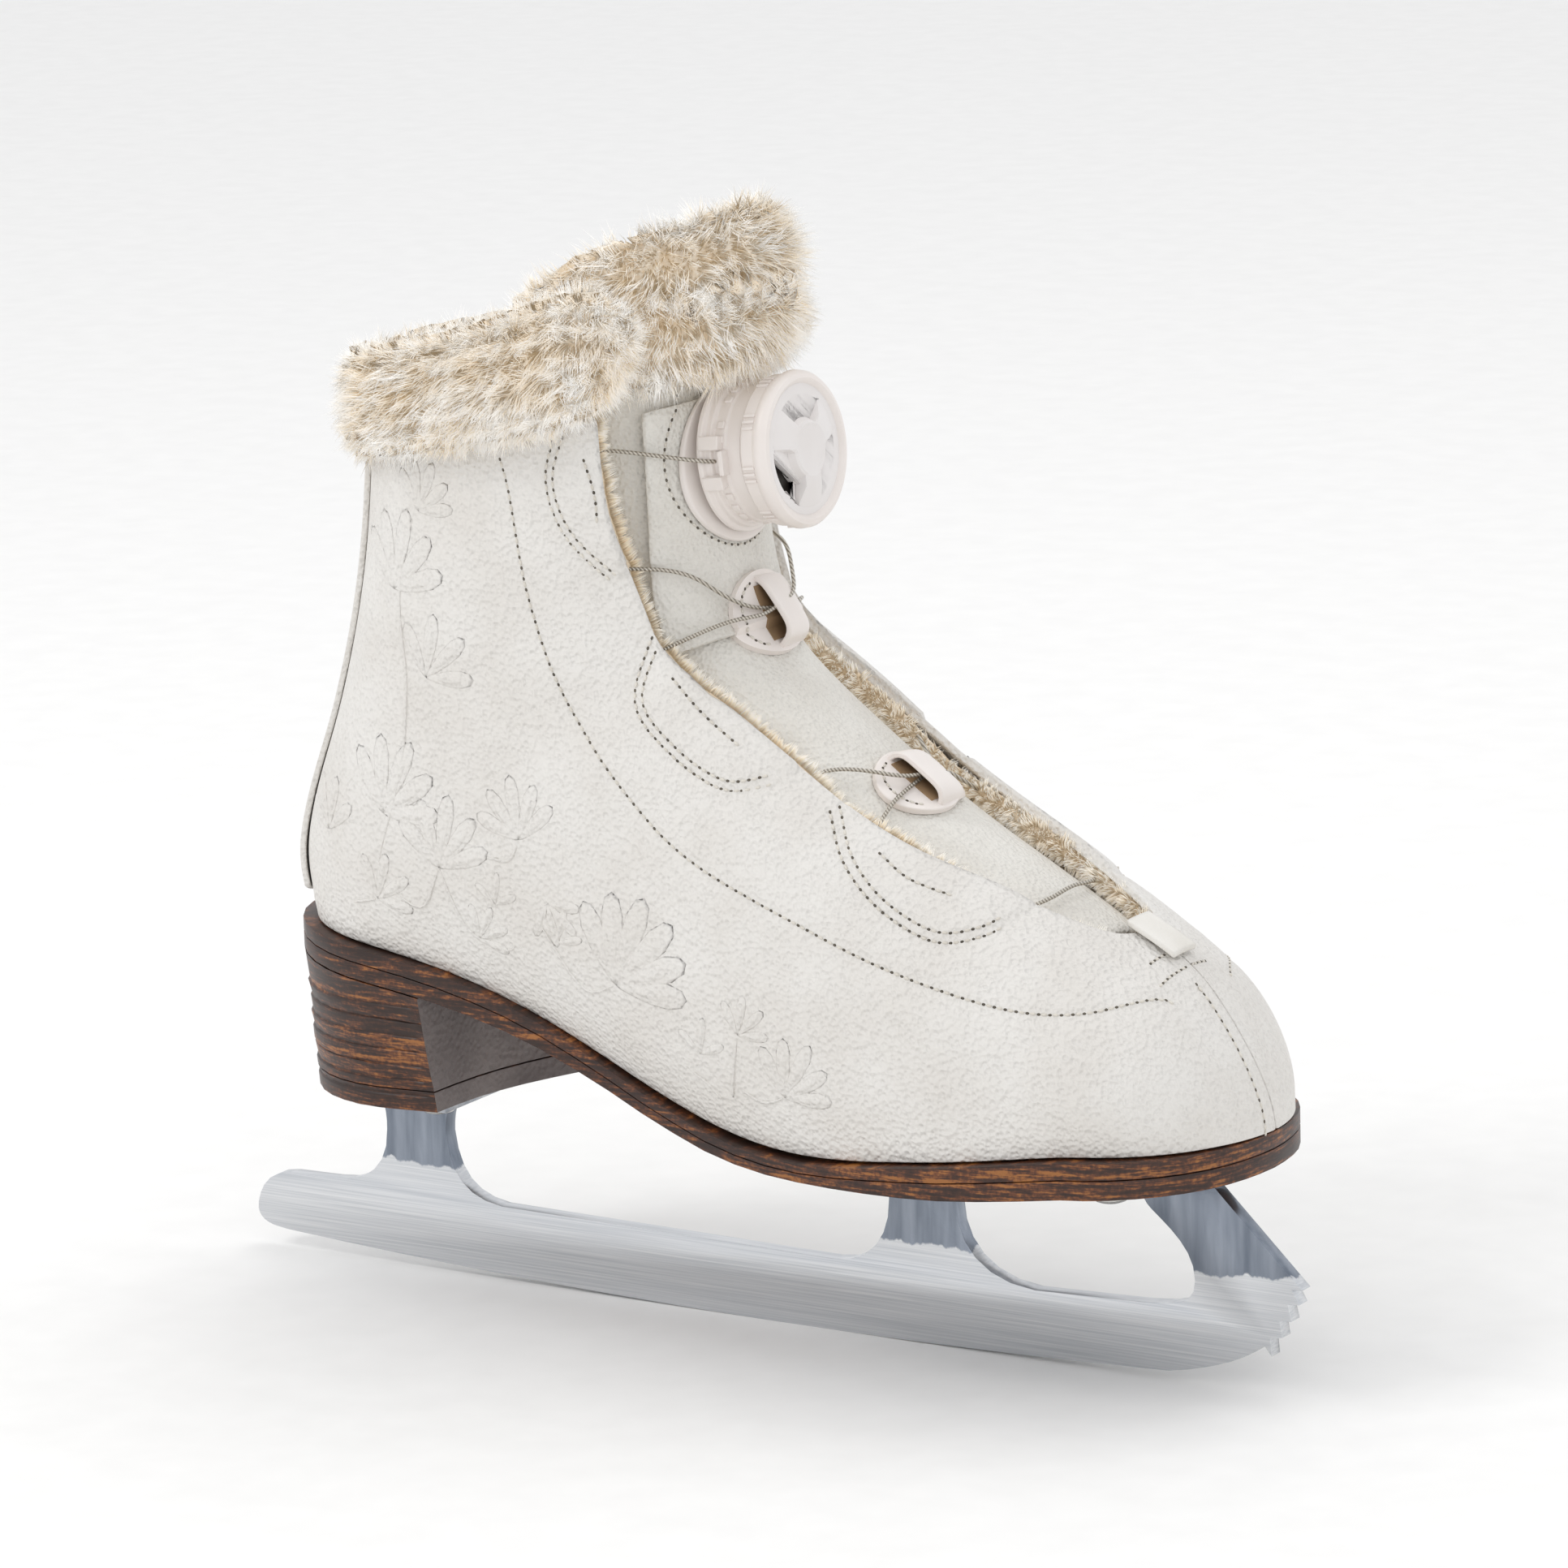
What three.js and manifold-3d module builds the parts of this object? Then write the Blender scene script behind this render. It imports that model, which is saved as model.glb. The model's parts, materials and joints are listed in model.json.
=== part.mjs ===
// Leisure ice skate for the right foot: a figure blade under a fur-trimmed boot that a dial and one
// steel lace draw shut. Millimetres. +X points to the toe, +Y to the inner side of the foot, +Z up.
// The origin is the point of the blade that rests on the ice, on the blade's centre plane.
import * as THREE from 'three';
import { mergeVertices } from 'three/addons/utils/BufferGeometryUtils.js';
import Module from 'manifold-3d';

const wasm = await Module();
wasm.setup();

// ---------------------------------------------------------------- driving dimensions
const gap = 0.3;                 // clearance between pieces that touch on the real skate

const bladeThickness = 4;
const rockerRadius = 2150;       // lengthwise curve of the running edge
const runnerHeight = 17;         // running edge to the top of the runner
const bladeTail = -150.5;
const bladeHeelRise = 142;       // the running edge lifts off behind this distance
const plateThickness = 2;
const heelPlateTop = 46;

const toeX = 123.5;              // toe tip of the upper
const toeRound = 32;             // length of the rounded toe
const heelX = -125;              // back of the heel seat
const heelRound = 31;
const soleMargin = 3.2;          // how far the sole stands out past the upper
const toeMargin = -0.6;
const quarterWall = 1.6;
const stiffenerWall = 1;
const liningWall = 2.4;
const boardThickness = 1.8;
const footbedThickness = 4;
const shankWall = 1.2;
const tongueWall = 3;
const tongueLiningWall = 2.2;

const laceDiameter = 1.1;
const tunnelBore = 2.6;
const tunnelWall = 0.6;

const dialTilt = 6.3;            // degrees the dial leans up from level
const dialFlangeDiameter = 37;
const dialFlangeWall = 1.2;
const housingDiameter = 33;
const housingHeight = 10.4;
const housingFloor = 1;
const housingWall = 2;
const knobDiameter = 35.6;
const knobHeight = 8.4;
const knobRibs = 24;
const gripWall = 1.6;
const capDiameter = 25;
const capHeight = 1.6;
const spoolDiameter = 20;
const spoolCore = 12;
const spoolHeight = 6.4;
const ratchetInside = 26.8;
const axleDiameter = 6;
const wellDiameter = 10;         // the well in the knob that takes the screw's head
const screwBore = 3;
const dialScrewHead = 8;
const runningGap = 0.4;
const knobPull = 2.5;            // how far the knob lifts to let the lace go

// ---------------------------------------------------------------- small tools
const vec = (x, y, z) => new THREE.Vector3(x, y, z);
const mix = (a, b, k) => a + (b - a) * k;
const clamp01 = (k) => Math.min(1, Math.max(0, k));

// the slope at a point between two rises, level at a turning point so that the curve never overshoots
function steady(other, rise, atEnd) {
  if (atEnd) return rise;
  if (other * rise <= 0) return 0;
  return Math.sign(rise) * Math.min(Math.abs(other + rise) / 2, 2 * Math.abs(other), 2 * Math.abs(rise));
}

// a smooth curve through rows of [key, value, value...], read at any key between the first and last
function smoothRows(rows) {
  return (key) => {
    const last = rows.length - 2;
    let i = 0;
    while (i < last && key > rows[i + 1][0]) i += 1;
    const [a, b] = [rows[i], rows[i + 1]];
    const before = rows[Math.max(0, i - 1)];
    const after = rows[Math.min(rows.length - 1, i + 2)];
    const span = b[0] - a[0];
    const k = (key - a[0]) / span;
    return a.slice(1).map((from, j) => {
      const to = b[j + 1];
      const rise = to - from;
      const slopeIn = steady((from - before[j + 1]) / (a[0] - before[0] || 1) * span, rise, i === 0);
      const slopeOut = steady((after[j + 1] - to) / (after[0] - b[0] || 1) * span, rise, i === last);
      const k2 = k * k;
      const k3 = k2 * k;
      return (2 * k3 - 3 * k2 + 1) * from + (k3 - 2 * k2 + k) * slopeIn
        + (3 * k2 - 2 * k3) * to + (k3 - k2) * slopeOut;
    });
  };
}

function closedGeometry(points, triangles) {
  const position = new Float32Array(points.length * 3);
  points.forEach((p, i) => position.set([p.x, p.y, p.z], 3 * i));
  let geometry = new THREE.BufferGeometry();
  geometry.setAttribute('position', new THREE.BufferAttribute(position, 3));
  let volume = 0;
  for (const [a, b, c] of triangles) {
    volume += points[a].dot(points[b].clone().cross(points[c]));
  }
  const order = volume < 0 ? triangles.map(([a, b, c]) => [a, c, b]) : triangles;
  geometry.setIndex(order.flat());
  geometry = mergeVertices(geometry, 1e-5);
  const index = geometry.index.array;
  const kept = [];
  for (let i = 0; i < index.length; i += 3) {
    const [a, b, c] = [index[i], index[i + 1], index[i + 2]];
    if (a !== b && b !== c && a !== c) kept.push(a, b, c);
  }
  geometry.setIndex(kept);
  return geometry;
}

// a wall between two surfaces, each a function of u and v from 0 to 1
function wallBetween(nu, nv, outer, inner) {
  const points = [];
  const triangles = [];
  const at = (side, i, j) => side * (nu + 1) * (nv + 1) + i * (nv + 1) + j;
  for (const surface of [outer, inner]) {
    for (let i = 0; i <= nu; i += 1) {
      for (let j = 0; j <= nv; j += 1) points.push(surface(i / nu, j / nv));
    }
  }
  const quad = (a, b, c, d) => triangles.push([a, b, c], [a, c, d]);
  for (let i = 0; i < nu; i += 1) {
    for (let j = 0; j < nv; j += 1) {
      quad(at(0, i, j), at(0, i + 1, j), at(0, i + 1, j + 1), at(0, i, j + 1));
      quad(at(1, i, j), at(1, i, j + 1), at(1, i + 1, j + 1), at(1, i + 1, j));
    }
    quad(at(0, i, 0), at(1, i, 0), at(1, i + 1, 0), at(0, i + 1, 0));
    quad(at(0, i, nv), at(0, i + 1, nv), at(1, i + 1, nv), at(1, i, nv));
  }
  for (let j = 0; j < nv; j += 1) {
    quad(at(0, 0, j), at(0, 0, j + 1), at(1, 0, j + 1), at(1, 0, j));
    quad(at(0, nu, j), at(1, nu, j), at(1, nu, j + 1), at(0, nu, j + 1));
  }
  return closedGeometry(points, triangles);
}

// a skin over rings of points, with flat ends
function loft(rings) {
  const count = rings[0].length;
  const points = rings.flat();
  const triangles = [];
  for (let i = 0; i + 1 < rings.length; i += 1) {
    for (let j = 0; j < count; j += 1) {
      const k = (j + 1) % count;
      const [a, b, c, d] = [i * count + j, i * count + k, (i + 1) * count + k, (i + 1) * count + j];
      triangles.push([a, b, c], [a, c, d]);
    }
  }
  for (const [ring, turn] of [[0, -1], [rings.length - 1, 1]]) {
    const centre = vec(0, 0, 0);
    rings[ring].forEach((p) => centre.add(p));
    points.push(centre.divideScalar(count));
    for (let j = 0; j < count; j += 1) {
      const [a, b] = [ring * count + j, ring * count + (j + 1) % count];
      triangles.push(turn > 0 ? [a, b, points.length - 1] : [b, a, points.length - 1]);
    }
  }
  return closedGeometry(points, triangles);
}

function toSolid(geometry) {
  let merged = geometry.clone();
  merged.deleteAttribute('normal');
  merged.deleteAttribute('uv');
  merged = mergeVertices(merged, 1e-5);
  return new wasm.Manifold(new wasm.Mesh({
    numProp: 3,
    vertProperties: new Float32Array(merged.attributes.position.array),
    triVerts: new Uint32Array(merged.index.array),
  }));
}

function fromSolid(solid) {
  const mesh = solid.getMesh();
  const geometry = new THREE.BufferGeometry();
  geometry.setAttribute('position', new THREE.BufferAttribute(mesh.vertProperties, 3));
  geometry.setIndex(new THREE.BufferAttribute(mesh.triVerts, 1));
  return geometry;
}

const cut = (body, ...tools) => fromSolid(tools.reduce((s, t) => s.subtract(toSolid(t)), toSolid(body)));
const join = (...bodies) => fromSolid(bodies.map(toSolid).reduce((s, t) => s.add(t)));

// a solid of revolution about +Z from [radius, height] points that start and end on the axis
function turned(profile, segments = 32) {
  const geometry = new THREE.LatheGeometry(profile.map(([r, h]) => new THREE.Vector2(r, h)), segments);
  geometry.rotateX(Math.PI / 2);
  return fromSolid(toSolid(geometry));
}

function cylinder(diameter, from, to, segments = 24) {
  return turned([[0, from], [diameter / 2, from], [diameter / 2, to], [0, to]], segments);
}

// a flat outline in X and Y, raised from one height to another
function raised(shape, from, to, curveSegments = 8) {
  const settings = { depth: to - from, bevelEnabled: false, curveSegments };
  const geometry = new THREE.ExtrudeGeometry(shape, settings);
  geometry.translate(0, 0, from);
  return fromSolid(toSolid(geometry));
}

const skate = new THREE.Group();
function add(name, geometry, color, roughness, metalness = 0, parent = skate) {
  const material = new THREE.MeshStandardMaterial({ color, roughness, metalness });
  const mesh = new THREE.Mesh(geometry, material);
  mesh.name = name;
  parent.add(mesh);
  return mesh;
}

// ---------------------------------------------------------------- the last: shape of the boot
// The rows below are drawn for a last from drawnHeel to drawnToe, and stretch with toeX and heelX.
const drawnToe = 123.5;
const drawnHeel = -125;
const stretch = (x) => (x > 0 ? toeX / drawnToe : heelX / drawnHeel);
const alongLast = (rows) => smoothRows(rows.map(([x, ...values]) => [x * stretch(x), ...values]));
// Height of the feather line, where the upper meets the sole, and of the sole's bottom, along X.
const featherHeight = alongLast([
  [-130, 88.6], [-95, 85.2], [-74, 81.8], [-54, 76], [-36, 68], [-18, 60], [2, 53.8], [24, 51.6],
  [57, 55], [98, 59.2], [134, 60],
]);
const soleBottomHeight = alongLast([
  [-130, 81], [-74, 74], [-54, 69], [-34, 61.2], [-16, 53.8], [2, 48.8], [24, 46.9], [57, 47.4],
  [98, 50.2], [134, 51.2],
]);
// Half width of the upper at the feather line along X, before the toe and heel are rounded.
const featherHalfWidth = alongLast([
  [-94, 28.5], [-65, 29], [-40, 28.5], [-15, 30.5], [10, 35.5], [35, 40], [58, 41.5], [78, 39.5], [92, 36],
]);
// The boot is cut by planes that turn from upright at the toe to nearly level at the top.
// Each row: key, top x, top z, half width, height of the widest place as a share, fullness.
const cutTops = smoothRows([
  [0, 124, 86, 33, 0.34, 1.9], [0.5, 114, 92, 36, 0.33, 1.9], [1, 93, 102, 39, 0.32, 2.1],
  [1.1, 81, 108, 41, 0.32, 2.5], [1.25, 60, 119, 43, 0.32, 2.9], [1.4, 41, 129.5, 42.5, 0.33, 3.2],
  [1.55, 26, 141, 41, 0.36, 3.3], [1.75, 13, 151.5, 39, 0.4, 3.3], [2, 4.5, 159.5, 38, 0.45, 3.3],
  [2.5, 0.5, 165, 37.5, 0.47, 3.3], [3, -3.2, 171.5, 37.5, 0.48, 3.3], [3.3, -6.3, 183, 37, 0.5, 3.3],
  [3.65, -8.6, 199, 37.5, 0.52, 3.3], [4, -10.8, 220, 38.5, 0.54, 3.4], [4.8, -10, 257, 40, 0.54, 3.4],
]);
// The back of the boot, from the heel seat up: key, x, z.
const backLine = smoothRows([
  [3, heelX, 88.2], [3.12, heelX - 2, 98], [3.3, heelX + 1.5, 114], [3.5, heelX + 10, 136],
  [3.7, heelX + 17.5, 162], [3.85, heelX + 21.5, 185], [4, heelX + 23, 206], [4.8, heelX + 22, 236],
]);
// Half the width of the throat, which the tongue closes, from its front end to the top.
const throatFront = 1.0;
const throatHalfWidth = smoothRows([
  [throatFront, 0], [1.012, 5], [1.04, 10], [1.1, 14.5], [1.2, 20], [1.36, 26], [1.55, 27], [1.75, 28],
  [2, 29], [3, 29.5], [3.3, 30.5], [3.65, 33.5], [4, 35], [4.8, 35],
]);
const widestShare = 0.42;        // how far along the wall of a cut its widest place lies
const lowFullness = 2.15;        // roundness of a cut below its widest place

// one cut of the last, drawn in by a depth
function cutAt(s, depth) {
  const [tx, tz, halfWidth, widest, fullness] = cutTops(s);
  const low = vec(0, 0, 0);
  const top = vec(tx * stretch(tx), 0, tz);
  let seat = 0;
  let swell = 1;
  if (s < 1) {
    const turn = s * Math.PI / 2;
    low.x = toeX - toeRound + (toeRound - depth) * Math.cos(turn);
    top.x -= depth * Math.cos(turn);
    swell = Math.sin(turn);
    seat = (featherHalfWidth(toeX - toeRound)[0] - depth) * swell;
  } else if (s < 2) {
    low.x = mix(toeX - toeRound, heelX + heelRound, s - 1);
    seat = featherHalfWidth(low.x)[0] - depth;
  } else if (s < 3) {
    const turn = (s - 2) * Math.PI / 2;
    low.x = heelX + heelRound - (heelRound - depth) * Math.sin(turn);
    seat = (featherHalfWidth(heelX + heelRound)[0] - depth) * Math.cos(turn);
  }
  low.z = featherHeight(low.x)[0];
  if (s >= 3) {
    [low.x, low.z] = backLine(s);
    low.x += depth;
  }
  const along = top.sub(low);
  const length = (along.length() - depth) * swell;
  along.normalize();
  return { low, along, length, halfWidth: (halfWidth - depth) * swell, widest, fullness, seat };
}

// the toe of the last swings a little to the inner side
const lastSwing = (x) => 3 * Math.pow(clamp01((x - 10) / 120), 2);

// A place on the last, or inside it by a depth. f runs from 0 at the feather line, or the back
// seam, to 1 at the top centre line.
function lastPoint(s, f, side, depth = 0) {
  const c = cutAt(s, depth);
  const foot = Math.min(0.999, Math.max(0, c.seat) / Math.max(c.halfWidth, 1e-6));
  const start = -Math.atan2(Math.pow(1 - Math.pow(foot, lowFullness), 1 / lowFullness), foot);
  const turn = f > widestShare ? mix(0, Math.PI / 2, (f - widestShare) / (1 - widestShare))
    : mix(start, 0, f / widestShare);
  const oval = (angle, n) => Math.pow(
    Math.pow(Math.abs(Math.cos(angle)), n) + Math.pow(Math.abs(Math.sin(angle)), n), -1 / n);
  const reach = oval(turn, turn > 0 ? c.fullness : lowFullness);
  const middle = c.widest * c.length;
  const below = middle / (Math.sin(-start) * oval(start, lowFullness));
  const t = middle + (turn > 0 ? c.length - middle : below) * reach * Math.sin(turn);
  const p = c.low.clone().addScaledVector(c.along, t);
  p.y = side * c.halfWidth * reach * Math.cos(turn) + lastSwing(p.x);
  return p;
}

// the f of the place that lies a given distance from the centre line, on the upper half of a cut
function acrossAt(s, distance, depth = 0) {
  const c = cutAt(s, depth);
  const k = Math.min(0.9999, distance / Math.max(c.halfWidth, 1e-6));
  const turn = Math.atan2(Math.pow(1 - Math.pow(k, c.fullness), 1 / c.fullness), k);
  return mix(widestShare, 1, turn / (Math.PI / 2));
}

const throatEdge = (s) => (s <= throatFront ? 1 : acrossAt(s, throatHalfWidth(s)[0]));

// a place over the throat, at a signed distance from the centre line
function throatPoint(s, y, depth) {
  return lastPoint(s, acrossAt(s, Math.abs(y), depth), y < 0 ? -1 : 1, depth);
}

// spreads u from 0 to 1 over keys so that each stretch gets its own share of the steps
function spread(stops) {
  const total = stops.slice(1).reduce((sum, stop) => sum + stop[1], 0);
  const steps = stops.slice(1).flatMap(([key, count], i) => {
    const from = stops[i][0];
    return Array.from({ length: count }, (_, j) => mix(from, key, (j + 1) / count));
  });
  return { total, at: (u) => [stops[0][0], ...steps][Math.round(u * total)] };
}

// ---------------------------------------------------------------- materials
const leather = [0xe9e5dd, 0.62];
const plush = [0xd9c7ae, 0.95];
const fur = [0xefe6d8, 0.95];
const board = [0xb59a74, 0.85];
const stackedWood = [0x5a3520, 0.5];
const steel = [0xc4c7cc, 0.25, 0.95];
const dialPlastic = [0xe6ded6, 0.4];
const innerPlastic = [0x6b6a68, 0.5];

// ---------------------------------------------------------------- upper
const sides = [[-1, 'lateral'], [1, 'medial']];
const quarterTop = 3.94;
const hiddenGap = 0.6;           // clearance between layers that curve together
const stiffenerDepth = quarterWall + hiddenGap;
const liningDepth = stiffenerDepth + stiffenerWall + hiddenGap + 0.1;
const liningInside = liningDepth + liningWall;
const liningSetback = 0.07;      // how far the lining stays back from the throat edge, as a share

for (const [side, name] of sides) {
  const apart = side * gap / 2;
  const layer = (steps, nv, low, high, from, to) => {
    const at = (depth) => (u, v) => {
      const s = steps.at(u);
      const p = lastPoint(s, mix(low(s), high(s), Math.pow(v, 1.2)), side, depth);
      p.y += apart;
      return p;
    };
    return wallBetween(steps.total, nv, at(from), at(to));
  };
  const wholeSide = spread([[0, 0], [1, 8], [1.04, 2], [1.2, 4], [2, 7], [3, 6], [quarterTop, 8]]);
  add(`quarter_${name}`, layer(wholeSide, 11, () => 0, throatEdge, 0, quarterWall), ...leather);

  const liningEdge = (s) => (s <= throatFront ? 1 : throatEdge(s) - liningSetback * clamp01((s - 1) * 25));
  add(`lining_${name}`, layer(wholeSide, 9, () => 0, liningEdge, liningDepth, liningInside), ...plush);

  const facingSteps = spread([[1.12, 0], [1.2, 2], [2, 7], [3, 6], [quarterTop, 8]]);
  add(`facing_${name}`, layer(facingSteps, 3, (s) => throatEdge(s) - 0.24, (s) => throatEdge(s) - liningSetback,
    stiffenerDepth, stiffenerDepth + stiffenerWall), ...board);
}

// the toe puff and the heel counter stiffen both ends of the upper, between leather and lining
const puffAt = (depth) => (u, v) => {
  const s = mix(0.06, 0.92, u);
  return lastPoint(s, 1 - 0.8 * Math.abs(2 * v - 1), v < 0.5 ? -1 : 1, depth);
};
add('toe_puff', wallBetween(9, 16, puffAt(stiffenerDepth), puffAt(stiffenerDepth + stiffenerWall)), ...board);
const counterDepth = stiffenerDepth - 0.1;
const counterAt = (depth) => (u, v) => {
  const around = Math.abs(2 * u - 1);
  const s = mix(3 - 0.95 * around, 3.42 - 0.3 * around, v);
  return lastPoint(s, 0.3 * around * v, u < 0.5 ? -1 : 1, depth);
};
add('heel_counter', wallBetween(24, 6, counterAt(counterDepth), counterAt(counterDepth + stiffenerWall)),
  ...board);

// the backstay is a strip of leather over the back seam
const backstayWall = 0.9;
const backstayAt = (depth) => (u, v) => lastPoint(mix(3.03, quarterTop - 0.02, u), 0.13 * Math.abs(2 * v - 1),
  v < 0.5 ? -1 : 1, depth);
const backstayGap = 0.5;
add('backstay', wallBetween(12, 6, backstayAt(-backstayGap - backstayWall), backstayAt(-backstayGap)), ...leather);

// ---------------------------------------------------------------- tongue
const tunnelDiameter = tunnelBore + 2 * tunnelWall;
const tongueWing = liningInside + 2 * hiddenGap;     // depth of the tongue under the lining
const tongueRise = 4.2;                            // depth of the tongue in the middle of the throat
const tongueOverlap = 8;                           // how far the tongue reaches under each side
const tongueTop = 4.03;
const tongueDepth = (v) => mix(tongueRise, tongueWing, Math.pow(clamp01(Math.abs(2 * v - 1) / 0.82), 2.2));
const tongueAt = (steps, reach, extra) => (u, v) => {
  const s = steps.at(u);
  const half = throatHalfWidth(s)[0] + reach;
  const depth = tongueDepth(v) + extra;
  const widest = cutAt(s, depth).halfWidth;
  return throatPoint(s, mix(-1, 1, v) * Math.min(half, widest * 0.985), depth);
};
const tongueSteps = spread([[1.06, 0], [1.3, 4], [2, 6], [3, 3], [tongueTop, 6]]);
add('tongue', wallBetween(tongueSteps.total, 8, tongueAt(tongueSteps, tongueOverlap, 0),
  tongueAt(tongueSteps, tongueOverlap, tongueWall)), ...leather);
const tongueLiningSteps = spread([[1.1, 0], [1.3, 3], [2, 5], [3, 3], [tongueTop, 5]]);
add('tongue_lining', wallBetween(tongueLiningSteps.total, 8,
  tongueAt(tongueLiningSteps, tongueOverlap, tongueWall + hiddenGap),
  tongueAt(tongueLiningSteps, tongueOverlap, tongueWall + hiddenGap + tongueLiningWall)), ...plush);
// the upper half of the tongue carries a second layer of leather, which holds the dial
const overlayWall = 0.9;
const overlayHalfWidth = 24;
const overlaySteps = spread([[0, 0], [0.4, 6], [1, 5]]);
function overTongue(s, y, height) {
  const share = y / (throatHalfWidth(s)[0] + tongueOverlap);
  return throatPoint(s, y, tongueDepth((share + 1) / 2) - height);
}
const overlayGap = 0.5;
const overlayBottom = (share) => mix(2.48, 2.78, share * share);      // its lower edge curves up at the sides
const overlayAt = (height) => (u, v) => {
  const share = 2 * v - 1;
  return overTongue(mix(overlayBottom(share), 3.93, overlaySteps.at(u)), share * overlayHalfWidth, height);
};
add('tongue_overlay', wallBetween(overlaySteps.total, 8, overlayAt(overlayGap + overlayWall), overlayAt(overlayGap)),
  ...leather);

// ---------------------------------------------------------------- fur trims
// a fur roll: rounded bars that follow the top of the boot
function furRoll(steps, middle, out, up) {
  const corners = 12;
  return loft(Array.from({ length: steps + 1 }, (_, i) => {
    const u = i / steps;
    const end = Math.sqrt(Math.max(0.15, 1 - Math.pow(Math.abs(2 * u - 1), 14)));
    return Array.from({ length: corners }, (_unused, j) => {
      const turn = 2 * Math.PI * j / corners;
      return middle(u)
        .addScaledVector(out(u), end * Math.cos(turn))
        .addScaledVector(up(u), end * Math.sin(turn));
    });
  }));
}

function outward(place, upAt, half) {
  return (u) => {
    const along = place(Math.min(1, u + 0.01)).sub(place(Math.max(0, u - 0.01)));
    return along.cross(upAt(u)).normalize().multiplyScalar(half(u));
  };
}
const collarBottom = quarterTop - 0.003;
const collarTop = (u) => mix(4.3, u < 0.5 ? 4.66 : 4.5, Math.pow(Math.abs(2 * u - 1), 2));
const collarThickness = (u) => mix(9, 12, Math.pow(2 * u - 1, 2));
const collarDepth = (u) => mix(-1.4, -3.4, Math.pow(2 * u - 1, 4));   // how deep the middle of the roll lies
const collarReach = 32;          // where the roll ends, measured from the centre line
const collarPlace = (u, s) => {
  const v = 2 * u - 1;
  return lastPoint(s, Math.abs(v) * acrossAt(s, collarReach), v < 0 ? -1 : 1, collarDepth(u));
};
const collarMiddle = (u) => collarPlace(u, collarBottom).lerp(collarPlace(u, collarTop(u)), 0.5);
const collarUp = (u) => collarPlace(u, collarTop(u)).sub(collarPlace(u, collarBottom)).multiplyScalar(0.5);
add('collar_fur', furRoll(28, collarMiddle, outward(collarMiddle, collarUp, (u) => -collarThickness(u) / 2),
  collarUp), ...fur);

// the tongue ends in a fur cuff, whose sides tuck in behind the collar
const cuffBottom = tongueTop - 0.003;
const cuffTop = 4.79;
const cuffReach = 32;
const wing = (u) => Math.pow(Math.abs(2 * u - 1), 1.9);
const cuffPlace = (u, s) => throatPoint(s, mix(-1, 1, u) * cuffReach, mix(-3.5, 12.5, wing(u)));
const cuffMiddle = (u) => cuffPlace(u, cuffBottom).lerp(cuffPlace(u, cuffTop), 0.5);
const cuffUp = (u) => cuffPlace(u, cuffTop).sub(cuffPlace(u, cuffBottom)).multiplyScalar(0.5);
const cuffOut = outward(cuffMiddle, cuffUp, (u) => mix(9.5, 4.5, wing(u)));
add('tongue_cuff', furRoll(18, cuffMiddle, cuffOut, cuffUp), ...fur);

// ---------------------------------------------------------------- sole
// a flat piece with the outline of the last, drawn in by a depth, between two heights along X
const soleSteps = spread([[0, 0], [1, 10], [2, 20], [3, 8]]);
function soleSheet(depthAt, topAt, bottomAt) {
  const at = (heightAt) => (u, v) => {
    const s = soleSteps.at(u);
    const { low, seat } = cutAt(s, depthAt(s));
    return vec(low.x, mix(-seat, seat, v) + lastSwing(low.x), heightAt(low.x));
  };
  return wallBetween(soleSteps.total, 2, at(topAt), at(bottomAt));
}
const feather = (x) => featherHeight(x)[0];
const soleBottom = (x) => soleBottomHeight(x)[0];
const weltShare = 0.45;          // the welt's share of the sole's thickness
const weltBottom = (x) => mix(feather(x) - hiddenGap, soleBottom(x), weltShare);
const soleEdge = (s) => -mix(toeMargin, soleMargin, clamp01(s * 1.4 - 0.2));
add('welt', soleSheet(soleEdge, (x) => feather(x) - hiddenGap, weltBottom), ...stackedWood);
add('outsole', soleSheet(soleEdge, (x) => weltBottom(x) - gap, soleBottom), ...stackedWood);
const insideSole = (s) => liningInside + mix(4, hiddenGap, clamp01(s));
const boardBottom = (x) => feather(x) + shankWall + 2 * hiddenGap;
add('insole_board', soleSheet(insideSole, (x) => boardBottom(x) + boardThickness, boardBottom), ...board);
const footbedBottom = (x) => boardBottom(x) + boardThickness + hiddenGap;
const footbedEdge = (s) => insideSole(s) + mix(2.5, 0.8, clamp01(s));
add('footbed', soleSheet(footbedEdge, (x) => footbedBottom(x) + footbedThickness, footbedBottom), ...plush);
const shankLength = 95;
const shankWidth = 14;
const shankFront = 25;
const shankAt = (height) => (u, v) => {
  const x = shankFront - shankLength * u;
  return vec(x, mix(-0.5, 0.5, v) * shankWidth, feather(x) + hiddenGap + height);
};
add('shank', wallBetween(20, 1, shankAt(shankWall), shankAt(0)), ...steel);

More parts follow.
